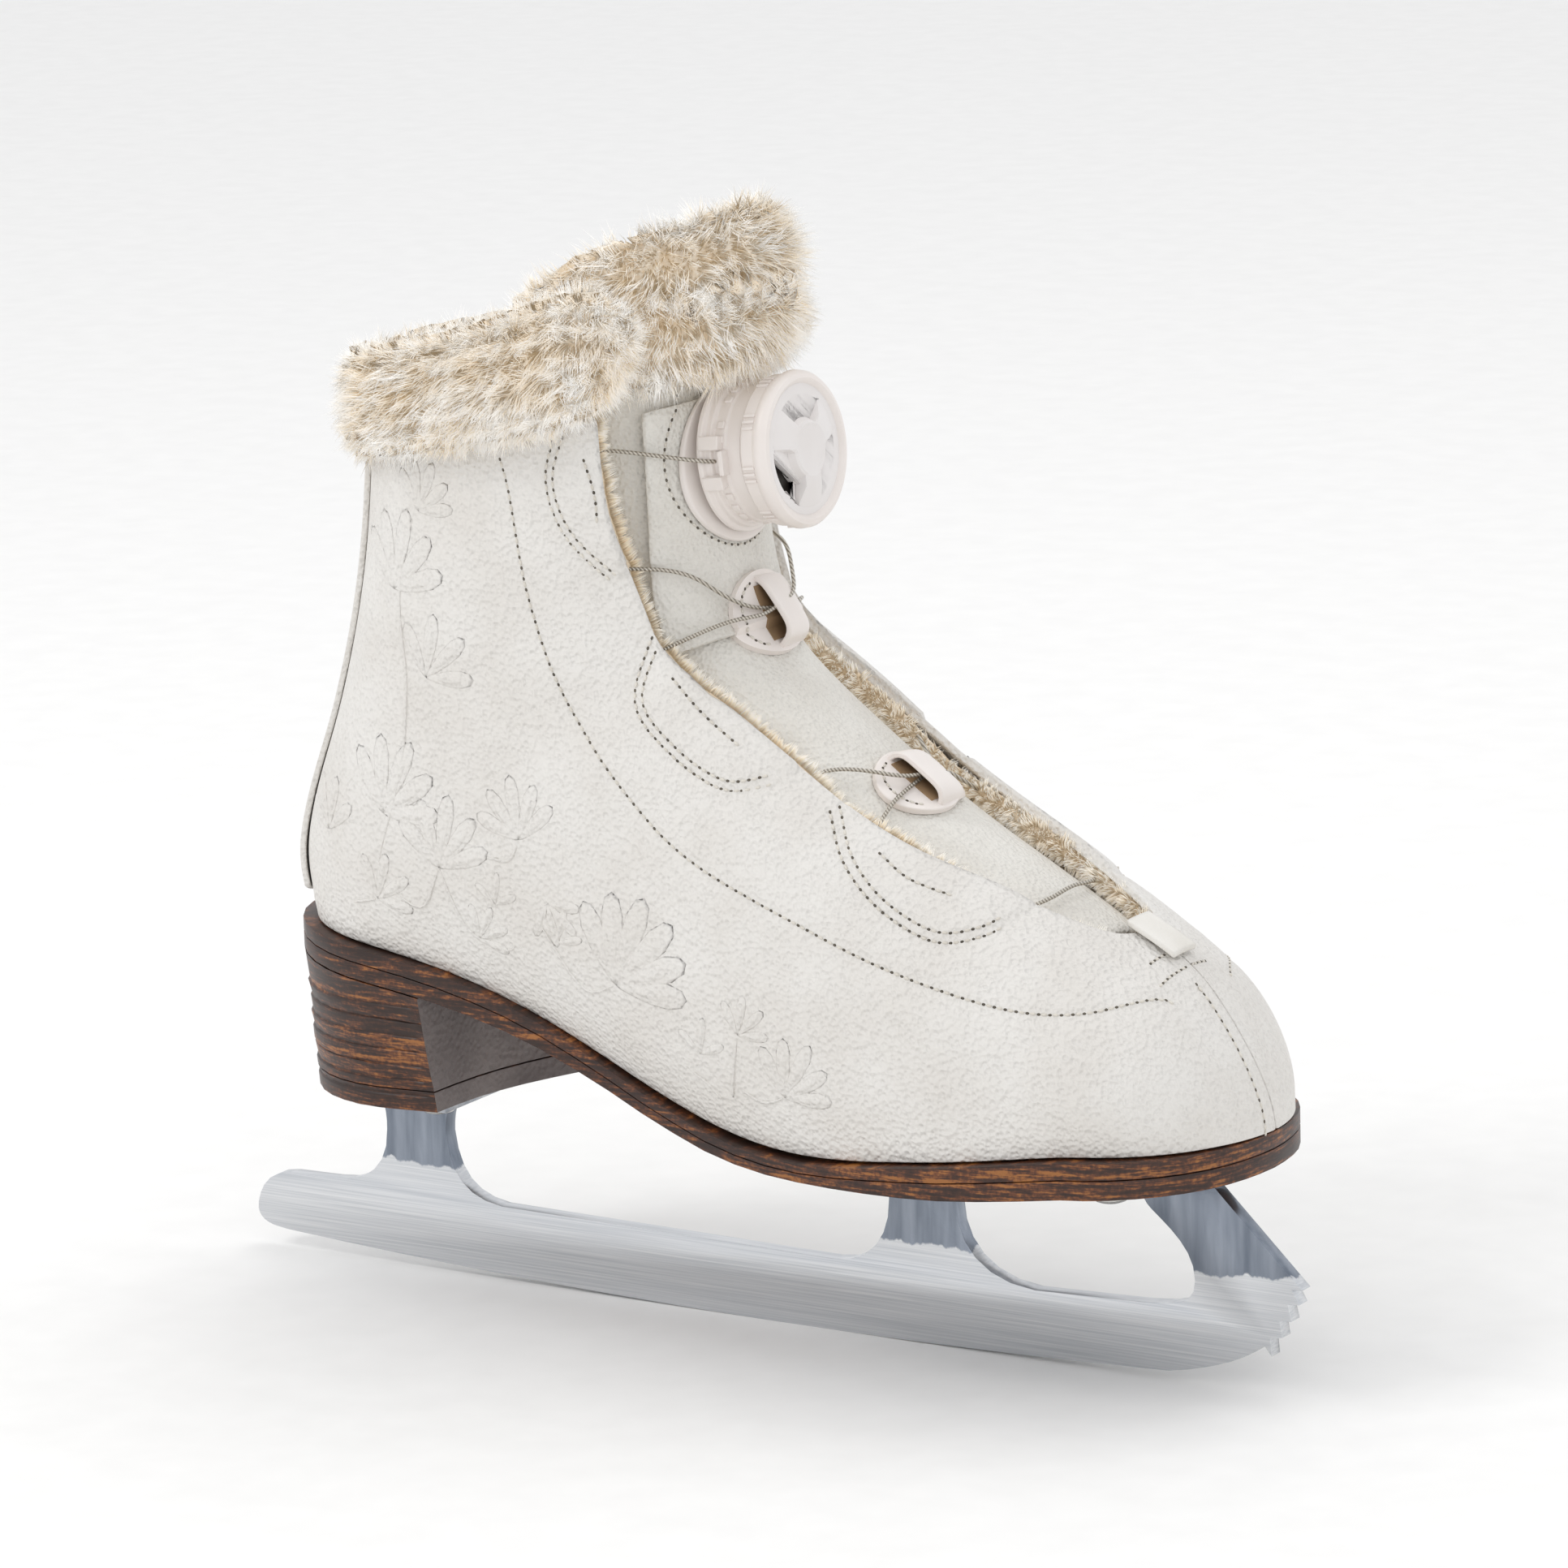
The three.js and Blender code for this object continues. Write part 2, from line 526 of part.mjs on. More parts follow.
// the heel is a tapered D with a hollow front face; k runs from 0 at its foot to 1 under the sole
const heelFrontOuter = -81;      // front of the heel on the outer side of the foot
const heelFrontInner = -71;
const heelHollow = 3;
const heelBackInset = 1.2;       // how far the heel draws in at its foot
const heelFrontInset = { lateral: 6.5, medial: 11 };
const liftThickness = 5;
function heelRing(k, height) {
  const ring = [];
  const sideSteps = 14;
  const outline = (s, side, share) => {
    const frontInset = side < 0 ? heelFrontInset.lateral : heelFrontInset.medial;
    const drawnIn = mix(mix(heelBackInset, frontInset, share), 0, Math.pow(k, 0.8));
    const { low, seat } = cutAt(s, drawnIn - soleMargin);
    return [low.x, side * seat];
  };
  for (let i = 0; i <= 2 * sideSteps; i += 1) {
    const side = i < sideSteps ? -1 : 1;
    const share = Math.abs(i / sideSteps - 1);
    const front = side < 0 ? heelFrontOuter : heelFrontInner;
    const frontKey = 1 + (toeX - toeRound - front) / (toeX - toeRound - heelX - heelRound);
    const s = share > 0.6 ? mix(2, frontKey, (share - 0.6) / 0.4) : mix(3, 2, share / 0.6);
    ring.push(outline(Math.min(s, 2.9999), side, share));
  }
  const [start, end] = [ring[ring.length - 1], ring[0]];
  for (let i = 1; i < 6; i += 1) {
    const share = i / 6;
    const hollow = heelHollow * Math.sin(Math.PI * share);
    ring.push([mix(start[0], end[0], share) - hollow, mix(start[1], end[1], share)]);
  }
  return ring.map(([x, y]) => vec(x, y, height(x)));
}
const liftTop = heelPlateTop + gap + liftThickness;
const blockRings = [0.1, 0.3, 0.5, 0.75, 1].map((k) => heelRing(k, (x) => mix(liftTop + gap, soleBottom(x) - gap,
  (k - 0.1) / 0.9)));
add('heel_block', loft(blockRings), ...stackedWood);
add('heel_lift', loft([heelRing(0, () => heelPlateTop + gap), heelRing(0.1, () => liftTop)]), ...stackedWood);

// ---------------------------------------------------------------- blade
const plateBottom = (x) => soleBottom(x) - gap - plateThickness;
const heelPlateBottom = heelPlateTop - plateThickness;
const restingHalf = 6;           // half the stretch of the running edge that touches level ice
const runningEdge = (x) => Math.max(0, (x * x - restingHalf * restingHalf) / (2 * rockerRadius));
const edgeFront = 98;
const heelPost = { back: -112, front: -95.2 };
const frontPost = { back: 26.2, front: 43.8 };
const toeBranchTop = { back: 92, front: 108.2 };
const toeCorner = [131.8, 25.1];
const pickTips = [[124, 9], [126.7, 13.6], [129, 17.6], [131, 21.7]];
const pickDepth = 3;

const profile = new THREE.Shape();
profile.moveTo(-bladeHeelRise, runningEdge(-bladeHeelRise));
for (let x = -bladeHeelRise + 12; x < edgeFront - 6; x += 12) profile.lineTo(x, runningEdge(x));
profile.lineTo(edgeFront, runningEdge(edgeFront));
profile.quadraticCurveTo(112, 4.6, 120, 9.6);
profile.lineTo(122.2, 11.2);
pickTips.forEach(([x, z], i) => {
  profile.lineTo(x, z);
  const [nextX, nextZ] = pickTips[i + 1] || toeCorner;
  profile.lineTo(mix(x, nextX, 0.75) - pickDepth * 0.8, mix(z, nextZ, 0.75) + pickDepth * 0.25);
});
profile.lineTo(...toeCorner);
profile.lineTo(toeBranchTop.front, plateBottom(toeBranchTop.front) - gap);
profile.lineTo(toeBranchTop.back, plateBottom(toeBranchTop.back) - gap);
profile.quadraticCurveTo(90.8, 42, 94.2, 39.2);
profile.bezierCurveTo(99, 35.2, 105, 31, 105, 24);
profile.bezierCurveTo(105, 18, 100, runnerHeight + 1, 92, runnerHeight + 0.3);
profile.lineTo(64, runnerHeight - 0.6);
profile.bezierCurveTo(50, runnerHeight, frontPost.front, 25, frontPost.front, 34);
profile.quadraticCurveTo(frontPost.front, 41, frontPost.front + 3, plateBottom(frontPost.front) - gap);
profile.lineTo(frontPost.back - 3, plateBottom(frontPost.back) - gap);
profile.quadraticCurveTo(frontPost.back + 0.4, 41, frontPost.back, 33);
profile.bezierCurveTo(frontPost.back, 24, 21, runnerHeight, 11, runnerHeight);
profile.lineTo(-80, runnerHeight + 1);
profile.bezierCurveTo(-90, runnerHeight + 2, heelPost.front + 1, 24, heelPost.front, 34);
profile.quadraticCurveTo(heelPost.front, 40, heelPost.front + 3, heelPlateBottom - gap);
profile.lineTo(heelPost.back - 3, heelPlateBottom - gap);
profile.quadraticCurveTo(heelPost.back + 0.4, 40, heelPost.back, 33);
profile.bezierCurveTo(heelPost.back, 24, -118, runnerHeight + 2, -128, runnerHeight + 2);
profile.lineTo(bladeTail + 10, runnerHeight + 1.8);
profile.bezierCurveTo(bladeTail + 2, runnerHeight + 1.8, bladeTail, 12, bladeTail, 9);
profile.quadraticCurveTo(bladeTail + 0.4, 5.6, -bladeHeelRise - 2.4, runningEdge(bladeHeelRise) + 0.3);
profile.closePath();
const bladeSolid = new THREE.ExtrudeGeometry(profile, {
  depth: bladeThickness, bevelEnabled: false, curveSegments: 6,
});
bladeSolid.rotateX(Math.PI / 2);
bladeSolid.translate(0, bladeThickness / 2, 0);
add('blade', fromSolid(toSolid(bladeSolid)), ...steel);

const screwHoleDiameter = 4.4;
const screwShank = 3.6;
const screwHead = 8.4;
const screwHeadHeight = 1.6;
const solePlate = { back: 14, front: 112 };
const solePlateHalf = smoothRows([[solePlate.back, 15], [28, 25], [62, 31], [95, 27.5], [solePlate.front, 15]]);
const soleScrews = [30, 62, 95].flatMap((x) => [-1, 1].map((side) => [x, side * (solePlateHalf(x)[0] - 6)]));
const heelPlate = { back: -117, front: -84, halfWidth: 18 };
const heelScrews = [-110, -90].flatMap((x) => [-1, 1].map((side) => [x, side * 12]));

const solePlateAt = (heightAt) => (u, v) => {
  const x = mix(solePlate.back, solePlate.front, u);
  return vec(x, mix(-1, 1, v) * solePlateHalf(x)[0], heightAt(x));
};
const screwHole = ([x, y], height) => {
  const hole = cylinder(screwHoleDiameter, height - 12, height + 14, 12);
  hole.translate(x, y, 0);
  return hole;
};
const plateTop = (x) => soleBottom(x) - gap;
add('sole_plate', cut(wallBetween(12, 2, solePlateAt(plateTop), solePlateAt(plateBottom)),
  ...soleScrews.map((at) => screwHole(at, plateBottom(at[0])))), ...steel);
const heelPlateShape = new THREE.Shape();
heelPlateShape.absellipse(heelPlate.back + heelPlate.halfWidth, 0, heelPlate.halfWidth, heelPlate.halfWidth,
  Math.PI / 2, 3 * Math.PI / 2, false);
heelPlateShape.lineTo(heelPlate.front, -heelPlate.halfWidth);
heelPlateShape.lineTo(heelPlate.front, heelPlate.halfWidth);
add('heel_plate', cut(raised(heelPlateShape, heelPlateBottom, heelPlateTop),
  ...heelScrews.map((at) => screwHole(at, heelPlateBottom))), ...steel);

// each screw passes its plate and goes up into the sole or the heel, whose holes fit it
function screw(length) {
  const head = screwHead / 2;
  const shankRadius = screwShank / 2;
  return turned([[0, -screwHeadHeight], [head * 0.6, -screwHeadHeight], [head, -screwHeadHeight * 0.3],
    [head, 0], [shankRadius, 0], [shankRadius, length - 1.5], [0, length]], 10);
}
const named = (name) => skate.getObjectByName(name);
const pilot = screwShank + 2 * gap;
function fastenWith(name, places, bottomAt, length, held) {
  places.forEach(([x, y], i) => {
    const mesh = add(`${name}_${i + 1}`, screw(length), ...steel);
    mesh.position.set(x, y, bottomAt(x) - gap);
  });
  held.forEach((node) => {
    const holes = places.map(([x, y]) => {
      const hole = cylinder(pilot, 0, length + gap, 12);
      hole.translate(x, y, bottomAt(x) - gap);
      return hole;
    });
    named(node).geometry = cut(named(node).geometry, ...holes);
  });
}
fastenWith('sole_screw', soleScrews, plateBottom, 6.2, ['outsole', 'welt']);
fastenWith('heel_screw', heelScrews, () => heelPlateBottom, 14, ['heel_lift', 'heel_block']);

// a small leather tab covers the front end of the throat
const tabWall = 1.2;
const tabAt = (height) => (u, v) => throatPoint(mix(0.87, 1.03, u), mix(-5, 5, v), -height);
add('throat_tab', wallBetween(4, 4, tabAt(hiddenGap + tabWall), tabAt(hiddenGap)), ...leather);

// ---------------------------------------------------------------- lace guides and tunnels
// the height of the dial and the guides over the tongue, whose middle strip they are sewn to
const onOverlay = overlayGap + overlayWall + gap;
function besideOnTongue(s0, along, height) {
  const step = along < 0 ? 0.02 : -0.02;
  let [s, left, here] = [s0, Math.abs(along), overTongue(s0, 0, height)];
  for (;;) {
    const next = overTongue(s + step, 0, height);
    const length = next.distanceTo(here);
    if (length >= left) return s + step * left / length;
    [s, left, here] = [s + step, left - length, next];
  }
}
// an oval patch that lies on the tongue
function roundPatch(s0, length, width, low, high, count) {
  const at = (height) => (u, v) => {
    const [a, b] = [2 * u - 1, 2 * v - 1];
    const along = a * Math.sqrt(1 - b * b / 2) * length / 2;
    const y = b * Math.sqrt(1 - a * a / 2) * width / 2;
    return overTongue(besideOnTongue(s0, along, height), y, height);
  };
  return wallBetween(count, count, at(high), at(low));
}
// axes on the tongue: X down the tongue, Y across, Z out of it
function tongueAxes(s0, height) {
  const origin = overTongue(s0, 0, height);
  const down = overTongue(s0 - 0.04, 0, height).sub(overTongue(s0 + 0.04, 0, height)).normalize();
  const across = vec(0, 1, 0);
  return new THREE.Matrix4().makeBasis(down, across, down.clone().cross(across)).setPosition(origin);
}
const guideFlangeLength = 19;     // down the tongue
const guideFlangeWidth = 26;
const guideFlangeWall = 1.2;
const guideWidth = 13;           // across the tongue
const guideLength = 11;          // down the tongue
const guideHeight = 5;
const slotLength = 6.4;
const slotFrom = 1.5;            // the slot's floor and roof over the guide's underside
const slotTo = 4.1;
const guides = { upper: { s: 2.72, height: onOverlay + 0.5 }, lower: { s: 1.445, height: hiddenGap } };
for (const [name, guide] of Object.entries(guides)) {
  const side = new THREE.Shape();
  side.moveTo(-guideLength / 2, 0.4);
  side.quadraticCurveTo(-guideLength / 2 + 0.6, guideHeight, -1.5, guideHeight);
  side.lineTo(1.5, guideHeight);
  side.quadraticCurveTo(guideLength / 2 - 0.6, guideHeight, guideLength / 2, 0.4);
  side.closePath();
  const bridge = raised(side, -guideWidth / 2, guideWidth / 2, 5);
  const slot = new THREE.Shape();
  slot.moveTo(-slotLength / 2, slotFrom);
  slot.lineTo(slotLength / 2, slotFrom);
  slot.lineTo(slotLength / 2 - 1, slotTo);
  slot.lineTo(1 - slotLength / 2, slotTo);
  slot.closePath();
  const channel = raised(slot, -guideWidth, guideWidth);
  guide.axes = tongueAxes(guide.s, guide.height);
  const body = cut(bridge, channel);
  body.rotateX(Math.PI / 2);
  body.applyMatrix4(guide.axes);
  const flangeTop = guide.height + guideFlangeWall;
  const flange = roundPatch(guide.s, guideFlangeLength, guideFlangeWidth, guide.height, flangeTop, 8);
  add(`cable_guide_${name}`, join(flange, body), ...dialPlastic);
}

// a pipe or a cord along points, one ring for each point
function along(points, diameter, bore = 0, sides = 6) {
  const rings = (radius) => {
    const across = vec(0, 0, 0);
    let before = null;
    return points.map((p, i) => {
      const ahead = points[Math.min(points.length - 1, i + 1)].clone().sub(points[Math.max(0, i - 1)]).normalize();
      if (before) across.applyQuaternion(new THREE.Quaternion().setFromUnitVectors(before, ahead));
      else across.set(0.3, 0.5, 0.81).cross(ahead);
      across.addScaledVector(ahead, -across.dot(ahead)).normalize();
      before = ahead;
      return Array.from({ length: sides }, (_, j) => p.clone().addScaledVector(
        across.clone().applyAxisAngle(ahead, 2 * Math.PI * j / sides), radius));
    });
  };
  const body = loft(rings(diameter / 2));
  if (bore === 0) return body;
  const reach = points[0].clone().sub(points[1]).normalize();
  const end = points[points.length - 1].clone().sub(points[points.length - 2]).normalize();
  const inner = rings(bore / 2);
  inner[0].forEach((p) => p.add(reach));
  inner[inner.length - 1].forEach((p) => p.add(end));
  return cut(body, loft(inner));
}
const tunnelDepth = quarterWall + 2.4;
const tunnelSetback = 0.034;     // the tunnels lie this share inside the throat edge
const tunnels = [[3.82, 3.53], [2.9, 1.62], [1.4, 1.2]];
const tunnelPoint = (s, side) => lastPoint(s, throatEdge(s) - tunnelSetback, side, tunnelDepth);
const tunnelShares = [0, 0.15, 0.32, 0.5, 0.67, 0.84, 1];
const tunnelLine = ([from, to], side) => tunnelShares.map((k) => tunnelPoint(mix(from, to, k), side));
for (const [side, name] of sides) {
  tunnels.forEach((range, i) => {
    const tube = along(tunnelLine(range, side), tunnelDiameter, tunnelBore, 10);
    add(`tunnel_${name}_${i + 1}`, tube, ...innerPlastic);
  });
}

// ---------------------------------------------------------------- dial
// Heights along the dial's axis start at the leather it is sewn to.
const dialS = 3.72;
const dialBase = overTongue(dialS, 0, overlayGap + overlayWall);
const dial = new THREE.Group();
dial.name = 'dial';
dial.position.copy(dialBase);
dial.rotation.y = Math.PI / 2 - dialTilt * Math.PI / 180;
skate.add(dial);
const onDial = (x, y, h) => {
  dial.updateMatrix();
  return vec(x, y, h).applyMatrix4(dial.matrix);
};
const dialFlangeTop = onOverlay + dialFlangeWall;
add('dial_flange', roundPatch(dialS - 0.03, dialFlangeDiameter, dialFlangeDiameter, onOverlay, dialFlangeTop, 12),
  ...dialPlastic);
const floorFrom = 2.3;
const floorTo = floorFrom + housingFloor;
const housingTop = floorFrom + housingHeight;
const exitHeight = floorTo + runningGap + spoolHeight / 2;
const holeAcross = (diameter, reach, h) => {
  const hole = cylinder(diameter, -reach, reach, 12);
  hole.rotateX(Math.PI / 2);
  hole.translate(0, 0, h);
  return hole;
};
const coreFrom = housingTop + 0.5;
const coreTop = coreFrom + knobHeight - 1.8;
const wellFloor = coreFrom + 1.2;
const axleTop = wellFloor + knobPull + 0.2;
const housingInside = housingDiameter - 2 * housingWall;
const housing = cut(join(
  turned([[0, floorFrom], [housingDiameter / 2, floorFrom], [housingDiameter / 2, floorFrom + 3],
    [housingDiameter / 2 - 0.8, floorFrom + 3.6], [housingDiameter / 2 - 0.8, housingTop],
    [housingInside / 2, housingTop], [housingInside / 2, floorTo], [0, floorTo]], 36),
  cylinder(axleDiameter, floorTo - 0.2, axleTop, 20),
), holeAcross(tunnelBore, housingDiameter, exitHeight), cylinder(screwBore, housingTop - 2, axleTop + 1, 12));
const axleRim = cylinder(axleDiameter, exitHeight - tunnelBore / 2 - 0.1, exitHeight + tunnelBore / 2 + 0.1, 20);
add('dial_housing', join(housing, axleRim), ...dialPlastic, 0, dial);

const spoolFrom = floorTo + runningGap;
const spoolRim = 1;
const bore = (diameter) => cylinder(diameter, -5, 40, 20);
const onAxle = axleDiameter + 2 * runningGap;
const spoolTop = spoolFrom + spoolHeight;
add('spool', cut(turned([[0, spoolFrom], [spoolDiameter / 2, spoolFrom], [spoolDiameter / 2, spoolFrom + spoolRim],
  [spoolCore / 2, spoolFrom + spoolRim], [spoolCore / 2, spoolTop - spoolRim],
  [spoolDiameter / 2, spoolTop - spoolRim], [spoolDiameter / 2, spoolTop], [0, spoolTop]], 28), bore(onAxle)),
...innerPlastic, 0, dial);
add('cable_windings', cut(cylinder(spoolDiameter - 1.4, spoolFrom + spoolRim + gap, spoolTop - spoolRim - gap, 28),
  bore(spoolCore + 2 * gap)), ...steel, dial);

const pawlFrom = spoolTop + runningGap;
const pawlTop = housingTop + 0.2;
const pawlDiameter = ratchetInside - 2 * runningGap;
const pawlArms = new THREE.Shape();
for (let i = 0; i < 36; i += 1) {
  const turn = 2 * Math.PI * i / 36;
  const radius = pawlDiameter / 2 * (i % 12 < 3 ? 1 : 0.82);
  if (i === 0) pawlArms.moveTo(radius, 0);
  else pawlArms.lineTo(radius * Math.cos(turn), radius * Math.sin(turn));
}
pawlArms.closePath();
add('pawl_disc', cut(raised(pawlArms, pawlFrom, pawlTop), bore(onAxle)), ...innerPlastic, 0, dial);
add('ratchet_ring', cut(cylinder(housingInside - 2 * gap, pawlFrom, housingTop, 36),
  cylinder(ratchetInside, 0, 40, 36)), ...innerPlastic, 0, dial);

const coreDiameter = knobDiameter - 2 * gripWall - 2 * gap;
add('knob_core', cut(turned([[0, coreFrom], [coreDiameter / 2, coreFrom], [coreDiameter / 2, coreTop - 1],
  [coreDiameter / 2 - 1.4, coreTop], [0, coreTop]], 40), bore(onAxle), cylinder(wellDiameter, wellFloor, 40, 20)),
...dialPlastic, 0, dial);
const grip = new THREE.Shape();
for (let i = 0; i < knobRibs * 2; i += 1) {
  const turn = Math.PI * i / knobRibs;
  const radius = knobDiameter / 2 - (i % 2 ? 0.5 : 0);
  if (i === 0) grip.moveTo(radius, 0);
  else grip.lineTo(radius * Math.cos(turn), radius * Math.sin(turn));
}
grip.closePath();
add('knob_grip', cut(raised(grip, coreFrom, coreTop - 1.2), cylinder(knobDiameter - 2 * gripWall, 0, 40, 40)),
  ...dialPlastic, 0, dial);
const capFrom = coreTop + gap;
const windows = [0, 1, 2].map((i) => {
  const window = new THREE.Shape();
  const middle = 2 * Math.PI * i / 3;
  window.absarc(0, 0, capDiameter / 2 - 1.6, middle - 0.62, middle + 0.62, false);
  window.absarc(0, 0, capDiameter / 2 - 4.6, middle + 0.4, middle - 0.4, true);
  return raised(window, 0, 40);
});
add('knob_cap', cut(turned([[0, capFrom], [capDiameter / 2, capFrom], [capDiameter / 2, capFrom + capHeight * 0.5],
  [capDiameter / 2 - 1.2, capFrom + capHeight], [0, capFrom + capHeight]], 36), ...windows), ...dialPlastic, 0, dial);
const dialScrewFrom = axleTop + gap;
add('dial_screw', turned([[0, housingTop - 1.5], [screwBore / 2 - gap, housingTop - 1.5],
  [screwBore / 2 - gap, dialScrewFrom], [dialScrewHead / 2, dialScrewFrom],
  [dialScrewHead / 2, dialScrewFrom + 1], [0, dialScrewFrom + 1.2]], 16), ...steel, dial);

// ---------------------------------------------------------------- lace
// The lace leaves the dial on the outer side and comes back to it on the inner side.
const beyond = 0.06;             // a straight run past each end of a tunnel
const inTunnel = new Set();
function throughTunnel(number, side, upwards = false) {
  const [from, to] = tunnels[number - 1];
  const reach = number === 3 ? beyond / 3 : beyond;
  const inside = tunnelLine([from, to], side);
  inside.forEach((p) => inTunnel.add(p));
  const line = [tunnelPoint(from + reach, side), ...inside, tunnelPoint(to - reach, side)];
  return upwards ? line.reverse() : line;
}
const strandHeights = { under: 2.15, over: 3.45 };
function throughGuide(guide, level, side, turn) {
  const place = (k) => vec(turn * k * 1.3, side * k * (guideWidth / 2 + 1.5), strandHeights[level])
    .applyMatrix4(guide.axes);
  return [place(1), place(0), place(-1)];
}
// the lace rides over the tongue between a tunnel's end and a guide
function overTo(guide, end, side, reversed = false) {
  const line = [22, 14.5].map((y, i) => overTongue(mix(end, guide.s, 0.3 + 0.3 * i), side * y, guide.height + 2));
  return reversed ? line.reverse() : line;
}
const lateral = -1;
const medial = 1;
const laceReach = spoolDiameter / 2 + laceDiameter;
const lacePoints = [
  onDial(0, -laceReach, exitHeight), onDial(0, -housingDiameter / 2 - 1.5, exitHeight),
  ...throughTunnel(1, lateral), ...overTo(guides.upper, tunnels[0][1], lateral),
  ...throughGuide(guides.upper, 'under', lateral, -1), ...overTo(guides.upper, tunnels[1][0], medial, true),
  ...throughTunnel(2, medial), ...overTo(guides.lower, tunnels[1][1], medial),
  ...throughGuide(guides.lower, 'under', medial, -1), ...overTo(guides.lower, tunnels[2][0], lateral, true),
  ...throughTunnel(3, lateral),
  throatPoint(1.15, -9, 2.2), throatPoint(1.15, 0, 1.1), throatPoint(1.15, 9, 2.2),
  ...throughTunnel(3, medial, true), ...overTo(guides.lower, tunnels[2][0], medial),
  ...throughGuide(guides.lower, 'over', medial, 1), ...overTo(guides.lower, tunnels[1][1], lateral, true),
  ...throughTunnel(2, lateral, true), ...overTo(guides.upper, tunnels[1][0], lateral),
  ...throughGuide(guides.upper, 'over', lateral, 1), ...overTo(guides.upper, tunnels[0][1], medial, true),
  ...throughTunnel(1, medial, true),
  onDial(0, housingDiameter / 2 + 1.5, exitHeight), onDial(0, laceReach, exitHeight),
];
// outside the tunnels each corner is rounded off by two points a quarter of the way along its sides
const roundedOff = lacePoints.flatMap((p, i) => {
  if (inTunnel.has(p) || i === 0 || i === lacePoints.length - 1) return [p];
  return [p.clone().lerp(lacePoints[i - 1], 0.25), p.clone().lerp(lacePoints[i + 1], 0.25)];
});
add('lace_cable', along(roundedOff, laceDiameter), ...steel);

export default skate;
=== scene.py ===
import json
import math
import bmesh
import bpy
import numpy as np
from mathutils import Matrix, Vector, kdtree
from mathutils.bvhtree import BVHTree


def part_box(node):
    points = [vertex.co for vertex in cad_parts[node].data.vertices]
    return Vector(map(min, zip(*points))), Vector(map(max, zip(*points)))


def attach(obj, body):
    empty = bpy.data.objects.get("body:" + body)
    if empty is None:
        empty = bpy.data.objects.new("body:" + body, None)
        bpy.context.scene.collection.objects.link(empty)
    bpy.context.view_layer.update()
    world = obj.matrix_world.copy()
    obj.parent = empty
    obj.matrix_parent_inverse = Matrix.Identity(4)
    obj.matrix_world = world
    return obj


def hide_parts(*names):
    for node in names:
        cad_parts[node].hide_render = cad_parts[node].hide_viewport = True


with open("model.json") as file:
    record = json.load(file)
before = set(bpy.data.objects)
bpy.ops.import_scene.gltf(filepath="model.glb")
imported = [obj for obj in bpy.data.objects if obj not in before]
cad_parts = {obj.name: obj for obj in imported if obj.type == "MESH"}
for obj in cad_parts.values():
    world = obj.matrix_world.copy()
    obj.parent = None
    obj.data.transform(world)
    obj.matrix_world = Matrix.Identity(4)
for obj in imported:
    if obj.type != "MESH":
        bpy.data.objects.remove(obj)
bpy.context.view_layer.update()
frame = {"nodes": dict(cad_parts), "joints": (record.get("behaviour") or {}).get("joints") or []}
nodes = frame["nodes"]
mm = 0.001
print("frame loaded,", len(nodes), "nodes")

# view: three-quarter from the toe side of the outer face, a little above
view = dict(azimuth=32, elevation=12.5, distance=1700, height=126.6, roll=-1.6, lens=172.6)
turn = math.radians(view["azimuth"])
rise = math.radians(view["elevation"])
away = Vector((math.sin(turn) * math.cos(rise), -math.cos(turn) * math.cos(rise), math.sin(rise)))
camera = bpy.data.objects.new("camera", bpy.data.cameras.new("camera"))
camera.data.lens = view["lens"]
camera.data.clip_end = 20
camera.matrix_world = (Matrix.Translation(away * view["distance"] * mm + Vector((0, 0, view["height"] * mm)))
                       @ away.to_track_quat("Z", "Y").to_matrix().to_4x4()
                       @ Matrix.Rotation(math.radians(view["roll"]), 4, "Z"))
bpy.context.scene.collection.objects.link(camera)
bpy.context.scene.camera = camera


# colours and shader nodes
def linear(code):
    shares = [int(code[i:i + 2], 16) / 255 for i in (0, 2, 4)]
    return [s / 12.92 if s <= 0.04045 else ((s + 0.055) / 1.055) ** 2.4 for s in shares] + [1]


def addNode(tree, kind, values=None, links=None, stops=None, **settings):
    node = tree.nodes.new("ShaderNode" + kind)
    for name, setting in settings.items():
        setattr(node, name, setting)
    for name, value in (values or {}).items():
        node.inputs[name].default_value = value
    for name, socket in (links or {}).items():
        tree.links.new(socket, node.inputs[name])
    if stops:
        elements = node.color_ramp.elements
        while len(elements) < len(stops):
            elements.new(0.5)
        for element, (place, code) in zip(elements, stops):
            element.position = place
            element.color = linear(code)
    return node


def startMaterial(name, values):
    material = bpy.data.materials.new(name)
    material.use_nodes = True
    tree = material.node_tree
    shader = tree.nodes["Principled BSDF"]
    for socket, value in values.items():
        shader.inputs[socket].default_value = value
    return material, tree, shader, addNode(tree, "TexCoord").outputs["Object"]


